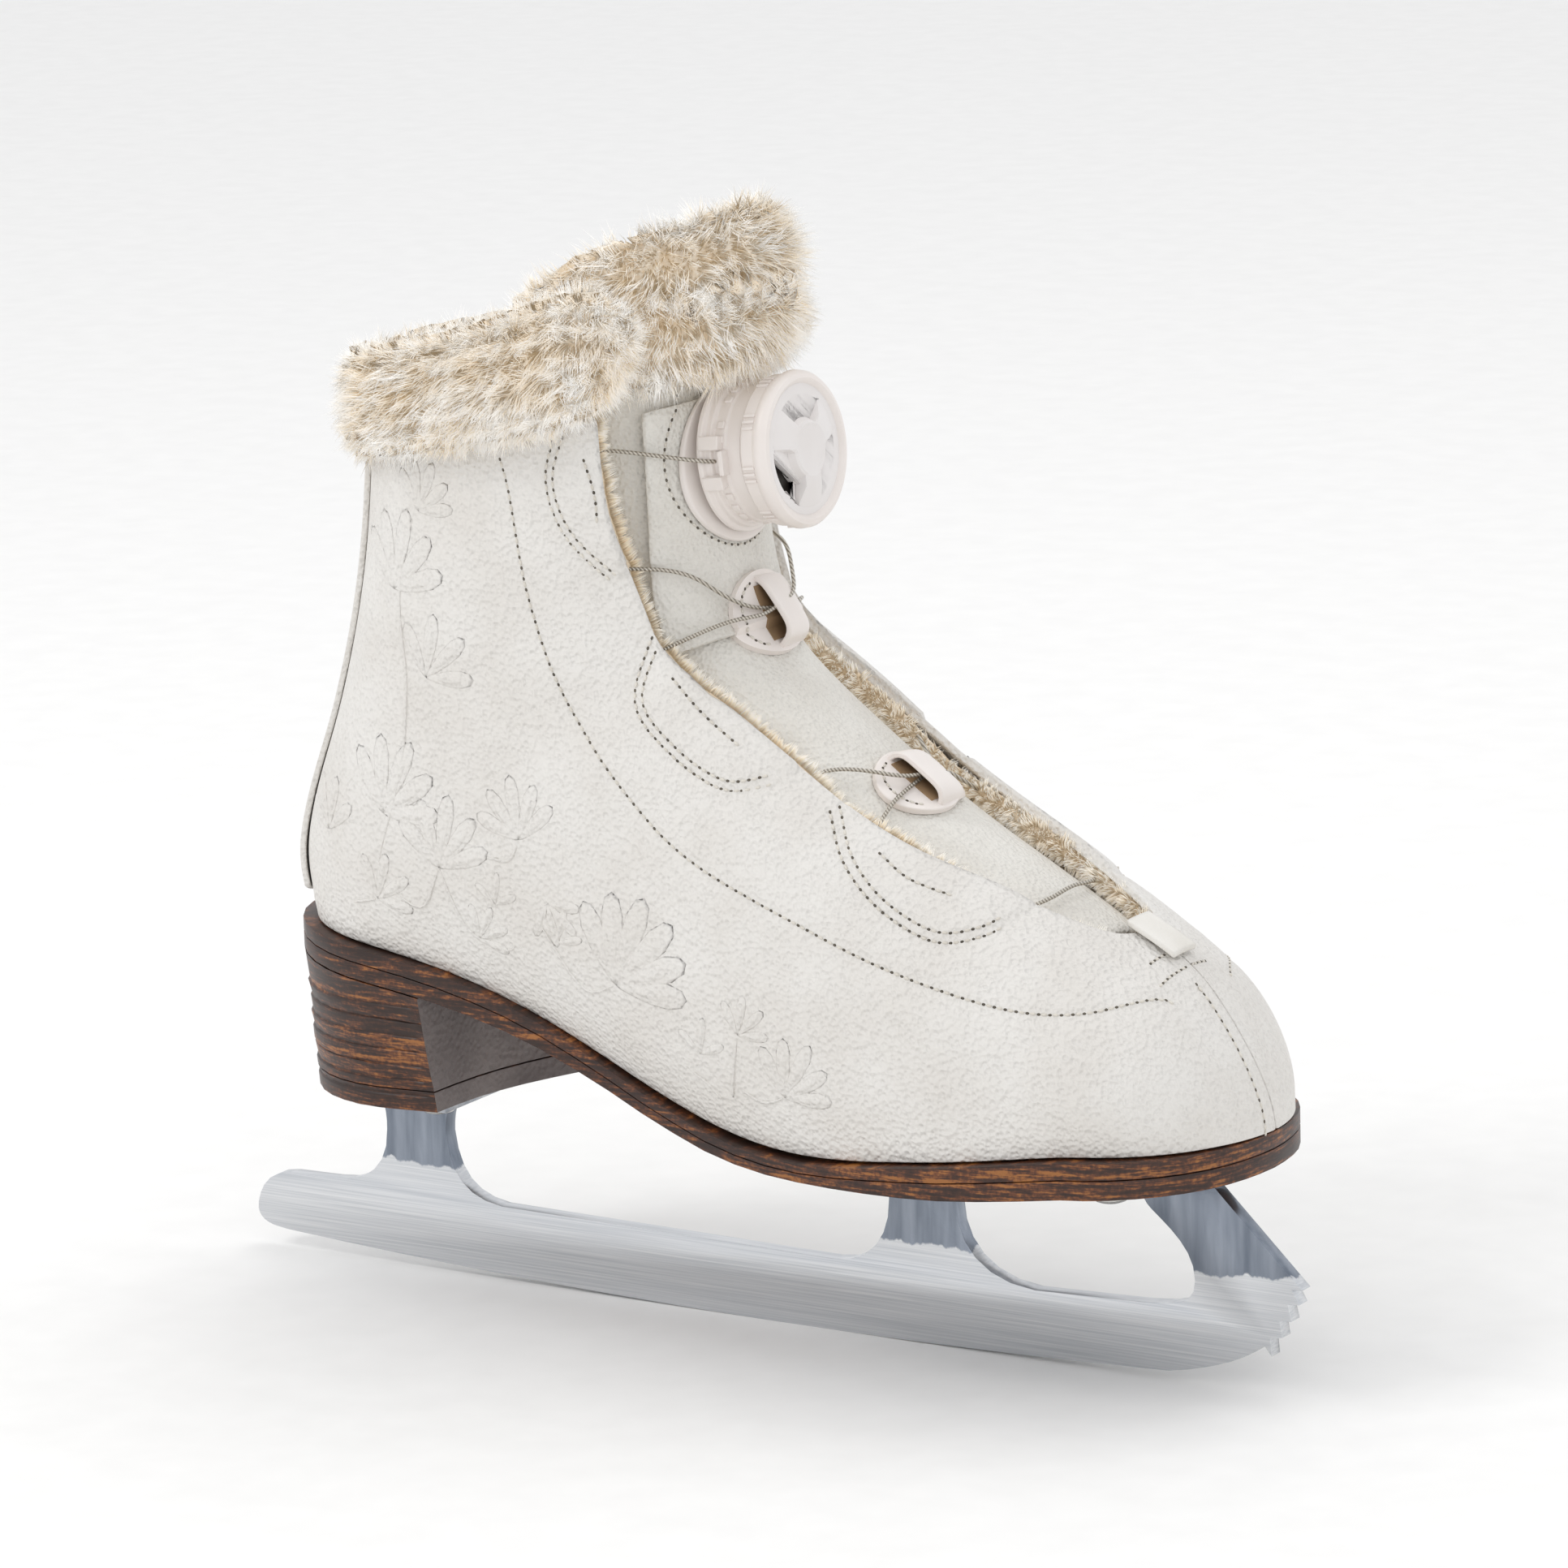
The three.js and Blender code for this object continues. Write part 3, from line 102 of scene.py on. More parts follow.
# coated leather: a pebble grain pressed into a soft, half matt film
def coatedLeather(name, light, dark, cell=0.85, depth=0.16):
    material, tree, shader, place = startMaterial(name, {"Roughness": 0.5, "Specular IOR Level": 0.35})
    tone = addNode(tree, "TexNoise", {"Scale": 45, "Detail": 3}, {"Vector": place})
    colour = addNode(tree, "ValToRGB", None, {"Fac": tone.outputs["Fac"]}, ((0.35, dark), (0.62, light)))
    tree.links.new(colour.outputs["Color"], shader.inputs["Base Color"])
    pebbles = addNode(tree, "TexVoronoi", {"Scale": 1 / (cell * mm), "Smoothness": 0.7}, {"Vector": place},
                      feature="SMOOTH_F1")
    wrinkles = addNode(tree, "TexNoise", {"Scale": 1 / (2.2 * cell * mm), "Detail": 5, "Roughness": 0.62},
                       {"Vector": place})
    both = addNode(tree, "Math", None, {0: pebbles.outputs["Distance"], 1: wrinkles.outputs["Fac"]},
                   operation="ADD")
    bump = addNode(tree, "Bump", {"Strength": 0.8, "Distance": depth * mm}, {"Height": both.outputs[0]})
    tree.links.new(bump.outputs["Normal"], shader.inputs["Normal"])
    return material


# faux fur and plush: crimped acrylic fibre, cream at the tips and tan towards the roots, where the tan is
# painted shade deep in the pile
def fibrePile(name, root, middle, tip):
    # the emission here is painted light: the fibres glow though they are no lamp
    surfaceAndGlow = {"Roughness": 0.75, "Specular IOR Level": 0.25, "Emission Strength": 0.3}
    material, tree, shader, place = startMaterial(name, surfaceAndGlow)
    along = addNode(tree, "Attribute", attribute_name="along").outputs["Fac"]
    patches = addNode(tree, "TexNoise", {"Scale": 95, "Detail": 2}, {"Vector": place}).outputs["Fac"]
    shift = addNode(tree, "Math", {1: 0.5}, {0: patches}, operation="SUBTRACT")
    moved = addNode(tree, "Math", {1: 1.1}, {0: shift.outputs[0], 2: along}, operation="MULTIPLY_ADD")
    # the tan end of the ramp, at the roots, is painted shade deep in the pile
    colour = addNode(tree, "ValToRGB", None, {"Fac": moved.outputs[0]},
                     ((0.05, root), (0.45, middle), (0.85, tip)))
    tree.links.new(colour.outputs["Color"], shader.inputs["Base Color"])
    # painted light: the fibres glow in their own colour, brightening the pile in place of light bounced from
    # fibre to fibre
    tree.links.new(colour.outputs["Color"], shader.inputs["Emission Color"])
    # fine pile scatters light, so each fibre is shaded mostly by the roll it stands on
    facing = addNode(tree, "Attribute", attribute_name="facing").outputs["Vector"]
    own = addNode(tree, "NewGeometry").outputs["Normal"]
    both = addNode(tree, "VectorMath", {1: (0.45, 0.45, 0.45)}, {0: own, 2: facing},
                   operation="MULTIPLY_ADD")
    soft = addNode(tree, "VectorMath", None, {0: both.outputs[0]}, operation="NORMALIZE")
    tree.links.new(soft.outputs[0], shader.inputs["Normal"])
    return material


# the cloth under a pile: short loops, seen only between the fibres
def plushGround(name, light, dark):
    material, tree, shader, place = startMaterial(name, {"Roughness": 0.95, "Sheen Weight": 0.3})
    loops = addNode(tree, "TexNoise", {"Scale": 900, "Detail": 4, "Roughness": 0.7}, {"Vector": place})
    clumps = addNode(tree, "TexNoise", {"Scale": 160, "Detail": 2}, {"Vector": place})
    both = addNode(tree, "Math", None, {0: loops.outputs["Fac"], 1: clumps.outputs["Fac"]}, operation="ADD")
    half = addNode(tree, "Math", {1: 0.5}, {0: both.outputs[0]}, operation="MULTIPLY")
    colour = addNode(tree, "ValToRGB", None, {"Fac": half.outputs[0]}, ((0.38, dark), (0.6, light)))
    tree.links.new(colour.outputs["Color"], shader.inputs["Base Color"])
    bump = addNode(tree, "Bump", {"Strength": 0.2, "Distance": 1.1 * mm}, {"Height": both.outputs[0]})
    tree.links.new(bump.outputs["Normal"], shader.inputs["Normal"])
    return material


# stacked leather board stained like wood: dark brown with burnt orange flecks along the layers
def stainedStack(name):
    material, tree, shader, place = startMaterial(name, {"Roughness": 0.42, "Specular IOR Level": 0.45})
    layers = addNode(tree, "Mapping", {"Scale": (14, 14, 330)}, {"Vector": place})
    band = addNode(tree, "TexNoise", {"Scale": 1, "Detail": 2}, {"Vector": layers.outputs[0]}).outputs["Fac"]
    grain = addNode(tree, "Mapping", {"Scale": (150, 150, 1500)}, {"Vector": place})
    fleck = addNode(tree, "TexNoise", {"Scale": 1, "Detail": 3, "Roughness": 0.6},
                    {"Vector": grain.outputs[0]})
    speck = addNode(tree, "TexNoise", {"Scale": 1100, "Detail": 2}, {"Vector": place}).outputs["Fac"]
    mottled = addNode(tree, "Math", {1: 0.35}, {0: speck, 2: fleck.outputs["Fac"]}, operation="MULTIPLY_ADD")
    mixed = addNode(tree, "Math", {1: 0.75}, {0: band, 2: mottled.outputs[0]}, operation="MULTIPLY_ADD")
    spread = addNode(tree, "Math", {1: 0.95, 2: -0.5}, {0: mixed.outputs[0]}, operation="MULTIPLY_ADD")
    colour = addNode(tree, "ValToRGB", None, {"Fac": spread.outputs[0]},
                     ((0.38, "2B1A13"), (0.52, "40261A"), (0.62, "683C22"), (0.72, "96602F")))
    tree.links.new(colour.outputs["Color"], shader.inputs["Base Color"])
    bump = addNode(tree, "Bump", {"Strength": 0.4, "Distance": 0.12 * mm}, {"Height": fleck.outputs["Fac"]})
    tree.links.new(bump.outputs["Normal"], shader.inputs["Normal"])
    return material


# stainless blade: the band along the edge is ground bright, and above it the sheet stays blue-grey
def groundSteel(name, line=None):
    material, tree, shader, place = startMaterial(name, {"Metallic": 1, "Anisotropic": 0.4})
    brushed = addNode(tree, "Mapping", {"Scale": (25, 400, 2600)}, {"Vector": place})
    lines = addNode(tree, "TexNoise", {"Scale": 1, "Detail": 3}, {"Vector": brushed.outputs[0]})
    lines = lines.outputs["Fac"]
    smears = addNode(tree, "Mapping", {"Scale": (260, 260, 30)}, {"Vector": place})
    smear = addNode(tree, "TexNoise", {"Scale": 1, "Detail": 4}, {"Vector": smears.outputs[0]}).outputs["Fac"]
    parts = addNode(tree, "SeparateXYZ", None, {0: place})
    if line:
        bow = addNode(tree, "Math", {1: 2}, {0: parts.outputs["X"]}, operation="POWER")
        edge = addNode(tree, "Math", {1: -0.233}, {0: bow.outputs[0], 2: parts.outputs["Z"]},
                       operation="MULTIPLY_ADD")
        ragged = addNode(tree, "Math", {1: 0.005}, {0: smear, 2: edge.outputs[0]},
                         operation="MULTIPLY_ADD")
        mask = addNode(tree, "MapRange", {"From Min": line * mm, "From Max": (line + 0.5) * mm},
                       {"Value": ragged.outputs[0]}).outputs[0]
    else:
        mask = addNode(tree, "MapRange", {"From Min": 0.3, "From Max": 0.7}, {"Value": smear}).outputs[0]
    ground = addNode(tree, "ValToRGB", None, {"Fac": lines},
                     ((0.3, "C4C7CB"), (0.7, "DEDFE1")))
    sheet = addNode(tree, "ValToRGB", None, {"Fac": smear}, ((0.3, "6C7480"), (0.7, "99A0AB")))
    colour = addNode(tree, "Mix", None, {0: mask, 6: ground.outputs["Color"], 7: sheet.outputs["Color"]},
                     data_type="RGBA")
    tree.links.new(colour.outputs[2], shader.inputs["Base Color"])
    rough = addNode(tree, "MapRange", {"To Min": 0.3, "To Max": 0.24}, {"Value": mask})
    tree.links.new(rough.outputs[0], shader.inputs["Roughness"])
    bump = addNode(tree, "Bump", {"Strength": 0.12, "Distance": 0.02 * mm}, {"Height": lines})
    tree.links.new(bump.outputs["Normal"], shader.inputs["Normal"])
    return material


# anything moulded, drawn or spun whose face is even, with a fine texture of its own grit
def evenFinish(name, light, dark, grit, depth, values):
    material, tree, shader, place = startMaterial(name, values)
    cloud = addNode(tree, "TexNoise", {"Scale": 70, "Detail": 2}, {"Vector": place})
    colour = addNode(tree, "ValToRGB", None, {"Fac": cloud.outputs["Fac"]}, ((0.3, dark), (0.7, light)))
    tree.links.new(colour.outputs["Color"], shader.inputs["Base Color"])
    texture = addNode(tree, "TexNoise", {"Scale": 1 / (grit * mm), "Detail": 3}, {"Vector": place})
    bump = addNode(tree, "Bump", {"Strength": 0.5, "Distance": depth * mm},
                   {"Height": texture.outputs["Fac"]})
    tree.links.new(bump.outputs["Normal"], shader.inputs["Normal"])
    return material


# wire rope: seven strands laid round each other, drawn as slanting bands round the lace
def laidWire(name):
    material, tree, shader, place = startMaterial(name, {"Metallic": 0.75, "Roughness": 0.38})
    strands = addNode(tree, "TexWave", {"Scale": 520, "Distortion": 0.3}, {"Vector": place},
                      bands_direction="DIAGONAL")
    colour = addNode(tree, "ValToRGB", None, {"Fac": strands.outputs["Fac"]},
                     ((0.1, "8C857A"), (0.8, "CFC9BE")))
    tree.links.new(colour.outputs["Color"], shader.inputs["Base Color"])
    bump = addNode(tree, "Bump", {"Strength": 0.8, "Distance": 0.15 * mm}, {"Height": strands.outputs["Fac"]})
    tree.links.new(bump.outputs["Normal"], shader.inputs["Normal"])
    return material


plastic = {"Roughness": 0.36, "Specular IOR Level": 0.45}
metal = {"Metallic": 1, "Roughness": 0.3}
upperLeather = coatedLeather("coatedLeather", "E1DED9", "DBD7D1", 1.15, 0.75)
tongueLeather = coatedLeather("tongueLeather", "DFDCD5", "D8D4CC", 1.0, 0.6)
edgeLeather = coatedLeather("cutEdgeLeather", "E6E3DD", "DAD6CE", 0.5, 0.08)
# pile colours run root, middle, tip: the tan roots are painted shade deep in the pile, and the fibres also
# glow as painted light
furFibre = fibrePile("fauxFurFibre", "DFC49C", "F7EAD6", "FFFDF9")
plushFibre = fibrePile("plushFibre", "DCC19A", "F3E4CC", "FFFAF0")
furGround = plushGround("fauxFurGround", "FAF0E0", "EBD6B8")
plushCloth = plushGround("plushCloth", "F0E2CC", "DAC2A0")
soleStack = stainedStack("stainedStack")
breastCover = coatedLeather("heelBreastCover", "857C79", "6C6361", 1.4, 0.5)
bladeSteel = groundSteel("groundBladeSteel", 25.5)
plateSteel = groundSteel("plateSteel")
rivetSteel = evenFinish("rivetSteel", "D6D4D0", "B9B6B1", 0.5, 0.03, metal)
wireRope = laidWire("laidWireRope")
mouldedPlastic = evenFinish("mouldedPlastic", "EAE3DE", "E5DDD7", 0.35, 0.02, plastic)
capPlastic = evenFinish("capPlastic", "E6E2E0", "E1DCD9", 0.35, 0.02, plastic)
# dark plastic for the inner parts, made darker still as painted shade where it shows through the knob's
# windows
darkPlasticAndShade = evenFinish("innerPlastic", "37312D", "2A2522", 0.35, 0.03, plastic)
# painted shade: brown for the shaded slot under each guide's hood
slotShade = evenFinish("slotShade", "A08465", "7E6549", 0.6, 0.05, {"Roughness": 0.6})
threadYarn = evenFinish("threadYarn", "DDD8CE", "CFC9BE", 0.25, 0.1, {"Roughness": 0.7})
# painted shade: the dark inside the needle holes
needleHoleShade = evenFinish("needleHoleShade", "6A6357", "4D473E", 0.3, 0.05, {"Roughness": 0.9})
stiffBoard = evenFinish("pressedFibre", "B49471", "9C7C5A", 0.4, 0.15, {"Roughness": 0.85})
bootFoam = evenFinish("moulding", "C7AA82", "B3956C", 0.6, 0.1, {"Roughness": 0.7})
floorPaper = evenFinish("floorPaper", "F4F3F1", "F1F0EE", 1.0, 0.02, {"Roughness": 0.85})
print("materials made:", len(bpy.data.materials))


# shared shaping tools
def newPiece(bm, name, sharpAngle=40):
    mesh = bpy.data.meshes.new(name)
    bm.to_mesh(mesh)
    bm.free()
    mesh.shade_smooth()
    mesh.set_sharp_from_angle(angle=math.radians(sharpAngle))
    piece = bpy.data.objects.new(name, mesh)
    bpy.context.scene.collection.objects.link(piece)
    return piece


def settle(piece, material, body, slotName, *stoodFor):
    if not piece.data.materials:
        piece.data.materials.append(material)
    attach(piece, body)
    if stoodFor:
        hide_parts(*stoodFor)
    return piece


def mergedCopy(node):
    bm = bmesh.new()
    bm.from_mesh(nodes[node].data)
    bmesh.ops.remove_doubles(bm, verts=bm.verts, dist=0.01 * mm)
    bmesh.ops.join_triangles(bm, faces=bm.faces, angle_face_threshold=math.radians(30),
                             angle_shape_threshold=math.radians(80), cmp_seam=False)
    return bm


def rounded(piece, levels):
    modifier = piece.modifiers.new("rounding", "SUBSURF")
    modifier.levels = levels
    modifier.render_levels = levels


def bevelled(piece, width, segments=2, angle=35):
    modifier = piece.modifiers.new("edges", "BEVEL")
    modifier.width = width * mm
    modifier.segments = segments
    modifier.limit_method = "ANGLE"
    modifier.angle_limit = math.radians(angle)
    modifier.harden_normals = False


def softCopy(node, levels, crease=0.7, sharpAngle=50):
    bm = mergedCopy(node)
    creases = bm.edges.layers.float.new("crease_edge")
    for edge in bm.edges:
        if edge.calc_face_angle(0) > math.radians(sharpAngle):
            edge[creases] = crease
    piece = newPiece(bm, node + "_finished", 180)
    if levels:
        rounded(piece, levels)
    return piece


# modifiers made part of the mesh, so that vertices can be moved afterwards
def baked(piece):
    bpy.context.view_layer.update()
    seen = piece.evaluated_get(bpy.context.evaluated_depsgraph_get())
    mesh = bpy.data.meshes.new_from_object(seen)
    piece.modifiers.clear()
    if piece.type == "MESH":
        piece.data = mesh
        return piece
    solid = bpy.data.objects.new(piece.name + "_solid", mesh)
    bpy.context.scene.collection.objects.link(solid)
    bpy.data.objects.remove(piece)
    return solid


def surfaceOf(*pieces):
    points = []
    faces = []
    for piece in pieces:
        start = len(points)
        points += [v.co.copy() for v in piece.data.vertices]
        faces += [[start + i for i in polygon.vertices] for polygon in piece.data.polygons]
    return BVHTree.FromPolygons(points, faces)


# an open sheet given its wall, inwards from the side that faces out
def thickened(bm, outward, wall):
    bmesh.ops.recalc_face_normals(bm, faces=bm.faces)
    if sum(face.normal.dot(outward) for face in bm.faces) < 0:
        bmesh.ops.reverse_faces(bm, faces=bm.faces)
    bmesh.ops.solidify(bm, geom=bm.faces[:], thickness=wall * mm)
    bmesh.ops.recalc_face_normals(bm, faces=bm.faces)


# rings of vertices joined one to the next
def bridged(bm, loops):
    for inner, outer in zip(loops, loops[1:]):
        edges = [edge for ring in (inner, outer) for vert in ring for edge in vert.link_edges
                 if edge.other_vert(vert) in ring]
        bmesh.ops.bridge_loops(bm, edges=list(set(edges)))


# a curve through given points, in steps of one length
def smoothLine(points, step):
    known = np.array(points, float)
    padded = np.vstack([2 * known[0] - known[1], known, 2 * known[-1] - known[-2]])
    fine = []
    for p0, p1, p2, p3 in zip(padded, padded[1:], padded[2:], padded[3:]):
        for k in np.linspace(0, 1, 12, endpoint=False):
            fine.append(0.5 * (2 * p1 + (p2 - p0) * k + (2 * p0 - 5 * p1 + 4 * p2 - p3) * k ** 2
                               + (3 * p1 - p0 - 3 * p2 + p3) * k ** 3))
    fine.append(known[-1])
    fine = np.array(fine)
    runs = np.concatenate([[0], np.cumsum(np.linalg.norm(np.diff(fine, axis=0), axis=1))])
    stops = np.arange(0, runs[-1], step)
    return np.stack([np.interp(stops, runs, fine[:, i]) for i in range(fine.shape[1])], axis=1)


def distanceTo(points, line):
    nearest = np.full(len(points), 1e9)
    for a, b in zip(line[:-1], line[1:]):
        span = b - a
        share = np.clip((points - a) @ span / (span @ span), 0, 1)
        nearest = np.minimum(nearest, np.linalg.norm(points - a - share[:, None] * span, axis=1))
    return nearest


def inside(points, outline):
    result = np.zeros(len(points), bool)
    for a, b in zip(outline, np.roll(outline, -1, axis=0)):
        crosses = (a[1] > points[:, 1]) != (b[1] > points[:, 1])
        reach = (b[0] - a[0]) * (points[:, 1] - a[1]) / (b[1] - a[1] + 1e-12) + a[0]
        result ^= crosses & (points[:, 0] < reach)
    return result


# the outer quarters: seams and padded lobes, as x and z in millimetres on the side of the boot
sewing = dict(
    line=[(-51, 213), (-47, 198), (-43, 172), (-34, 149), (-16, 128), (1, 116), (29, 105), (52, 97), (77, 91),
          (93, 90), (104, 91), (110, 91)],
    lobes=[[(-33, 213), (-37, 200), (-33, 187), (-21, 175)],
           [(-14, 168), (-18, 151), (-8, 140), (6, 133), (19, 135)],
           [(30, 129), (36, 119), (46, 110), (59, 104), (69, 105), (75, 109)]],
    shortRows=[[(-27, 205), (-25, 197), (-25, 188)], [(-9, 156), (-1, 149), (9, 142)],
               [(43, 121), (51, 116), (63, 112)]],
    throat=[(-30, 214), (-28, 207), (-24, 180), (-19, 166), (-13, 158), (20, 137), (31, 128), (43, 123),
            (71, 110), (92, 102)],
    pitch=2.5, rowGap=2.1, puff=1.3, groove=0.3)
sides = {"lateral": -1, "medial": 1}


def offsetLine(line, distance):
    along = np.gradient(line, axis=0)
    along /= np.linalg.norm(along, axis=1)[:, None]
    return line + distance * np.stack([along[:, 1], -along[:, 0]], axis=1)


def shapeQuarter(name, side):
    piece = baked(softCopy("quarter_" + name, 3, 0.55))
    mesh = piece.data
    count = len(mesh.vertices)
    places = np.zeros(count * 3)
    normals = np.zeros(count * 3)
    mesh.vertices.foreach_get("co", places)
    mesh.vertices.foreach_get("normal", normals)
    places = places.reshape(-1, 3)
    normals = normals.reshape(-1, 3)
    flat = places[:, [0, 2]] / mm
    outer = np.clip(normals[:, 1] * side * 3 + np.clip(normals[:, 2], 0, 1) * 2, 0, 1)
    rise = np.zeros(count)
    throat = np.array(sewing["throat"], float)
    for lobe in sewing["lobes"]:
        row = smoothLine(lobe, 2)
        ends = (throat[:, 1] > row[-1][1] - 6) & (throat[:, 1] < row[0][1] + 6)
        outline = np.vstack([row, throat[ends][::-1] + (4, 4)])
        edge = distanceTo(flat, row)
        within = inside(flat, outline)
        rise += np.where(within, sewing["puff"] * (1 - np.exp(-edge / 4)), 0)
        rise -= sewing["groove"] * np.exp(-(edge / 1.3) ** 2)
    for row in [sewing["line"]] + sewing["shortRows"]:
        rise -= sewing["groove"] * 0.8 * np.exp(-(distanceTo(flat, smoothLine(row, 2)) / 1.2) ** 2)
    # soft folds run in from the throat edge
    fold = 0.35 * np.sin(flat[:, 0] / 7 + flat[:, 1] / 11) * np.exp(-distanceTo(flat, throat) / 16)
    # walking creases across the instep
    fromAnkle = np.hypot(flat[:, 0] + 30, flat[:, 1] - 140)
    fold += 0.25 * np.sin((flat[:, 1] * 0.8 - flat[:, 0] * 0.5) / 4.5) * np.exp(-fromAnkle / 30)
    places += normals * ((rise + fold) * outer * mm)[:, None]
    mesh.vertices.foreach_set("co", places.ravel())
    mesh.shade_smooth()
    mesh.update()
    return settle(piece, upperLeather, "skate", "boot_leather", "quarter_" + name)


quarters = {name: shapeQuarter(name, side) for name, side in sides.items()}
print("quarters shaped")

# remaining leather, lining and inner pieces of the boot, smooth over the shapes of the model
leathers = {}
for node, material, slotName, levels, crease in (
        ("facing_lateral", edgeLeather, "boot_leather", 2, 0.6),
        ("facing_medial", edgeLeather, "boot_leather", 2, 0.6),
        ("tongue", tongueLeather, "boot_leather", 2, 0.5),
        ("tongue_overlay", tongueLeather, "boot_leather", 2, 0.6),
        ("backstay", upperLeather, "boot_leather", 2, 0.6),
        ("throat_tab", edgeLeather, "boot_leather", 2, 0.6),
        ("lining_lateral", plushCloth, "plush_lining", 2, 0.4),
        ("lining_medial", plushCloth, "plush_lining", 2, 0.4),
        ("tongue_lining", plushCloth, "plush_lining", 2, 0.4),
        ("footbed", plushCloth, "plush_lining", 1, 0.6),
        ("toe_puff", bootFoam, "stiffener", 1, 0.9),
        ("heel_counter", bootFoam, "stiffener", 1, 0.9),
        ("insole_board", stiffBoard, "insole_fibreboard", 1, 1),
        ("shank", plateSteel, "blade_steel", 0, 1),
        ("dial_flange", mouldedPlastic, "dial_plastic", 2, 0.8),
        ("lace_cable", wireRope, "lace_steel", 2, 0)):
    leathers[node] = settle(baked(softCopy(node, levels, crease)), material, "skate", slotName, node)
# the backstay is cemented down, so its inner face is pushed into the seam behind it
for vert in leathers["backstay"].data.vertices:
    if vert.normal.x > 0.2:
        vert.co.x += 0.6 * mm
for name in sides:
    for number in (1, 2, 3):
        node = f"tunnel_{name}_{number}"
        settle(softCopy(node, 1, 0.6), mouldedPlastic, "skate", "dial_plastic", node)
print("boot pieces smoothed")


# sewing thread: short capsules that dip into needle holes marked by small dark discs of painted shade, each
# as long as this share of the pitch
threadShare = 0.62


def stitchRow(target, surface, line, pitch):
    stops = smoothLine(line, pitch)
    for before, after in zip(stops, stops[1:]):
        ends = [surface.find_nearest(Vector(p) * mm) for p in (before, after)]
        if ends[0][0] is None or ends[1][0] is None:
            continue
        middle = (ends[0][0] + ends[1][0]) / 2
        along = (ends[1][0] - ends[0][0]).normalized()
        normal = ends[0][1]
        across = normal.cross(along).normalized()
        lying = Matrix((along, across, along.cross(across))).transposed().to_4x4()
        target.append((Matrix.Translation(middle) @ lying, pitch * threadShare / 2,
                       Matrix.Translation(ends[0][0]) @ lying))


def sew(name, rows):
    threads = bmesh.new()
    holes = bmesh.new()
    for frameOfStitch, half, frameOfHole in rows:
        ball = bmesh.ops.create_icosphere(threads, subdivisions=1, radius=mm)["verts"]
        bmesh.ops.scale(threads, vec=(half, 0.36, 0.3), verts=ball)
        bmesh.ops.transform(threads, matrix=frameOfStitch @ Matrix.Translation((0, 0, 0.08 * mm)), verts=ball)
        # a small dark disc where the stitch goes in: painted shade in the needle hole
        dot = bmesh.ops.create_icosphere(holes, subdivisions=1, radius=mm)["verts"]
        bmesh.ops.scale(holes, vec=(0.5, 0.36, 0.12), verts=dot)
        bmesh.ops.transform(holes, matrix=frameOfHole @ Matrix.Translation((0, 0, 0.02 * mm)), verts=dot)
    settle(newPiece(threads, name + "_thread", 180), threadYarn, "skate", "boot_leather")
    settle(newPiece(holes, name + "_needle_hole_shade", 180), needleHoleShade, "skate", "boot_leather")


def onSide(surface, side, points):
    found = []
    for x, z in points:
        start = Vector((x, side * 90, z)) * mm
        hit = surface.ray_cast(start, Vector((0, -side, 0)))[0]
        if hit is None:
            hit = surface.find_nearest(Vector((x, side * 12, z)) * mm)[0]
        found.append(tuple(hit / mm))
    return found


surfaces = {name: surfaceOf(quarters[name]) for name in sides}
for name, side in sides.items():
    rows = []
    surface = surfaces[name]
    for row in [sewing["line"]] + sewing["shortRows"]:
        stitchRow(rows, surface, onSide(surface, side, row), sewing["pitch"])
    for lobe in sewing["lobes"]:
        for shift in (0, sewing["rowGap"]):
            line = offsetLine(smoothLine(lobe, 3), -shift)
            stitchRow(rows, surface, onSide(surface, side, line), sewing["pitch"])
    if name == "lateral":
        toeSeam = [(108, -1.8, 93), (117, -1.8, 83), (122, -1.8, 70), (124, -1.8, 56)]
        stitchRow(rows, surface, toeSeam, sewing["pitch"])
    # two short rows bar the foot of the throat
    bar = [(99, side * 0.6, 98), (98.5, side * 7, 97), (98, side * 13, 95)]
    stitchRow(rows, surface, bar, 2)
    stitchRow(rows, surface, [(x + 4.5, y, z - 2.5) for x, y, z in bar], 2)
    sew("quarter_" + name, rows)
print("quarters sewn")

overlaySurface = surfaceOf(leathers["tongue_overlay"], leathers["tongue"])

# lace guides: a sewn flange with a hood over its inner half, open towards the outer side
guide = dict(
    flangeLong=19, flangeWide=26, flangeWall=1.7, flangeGap=0.15, hoodLong=17.6, hoodFrom=-2.2, hoodTo=12.6,
    hoodFoot=1.2, hoodHigh=5.8, hoodLow=3.4, hoodWall=1.3, hoodTaper=0.18, floorFrom=-3.4, shadeWide=9,
    shadeLong=12.672, shadeHigh=2.1, shadeWall=0.5, rowRadius=(7.2, 7), rowCentre=-3.4, rowHigh=2.2)


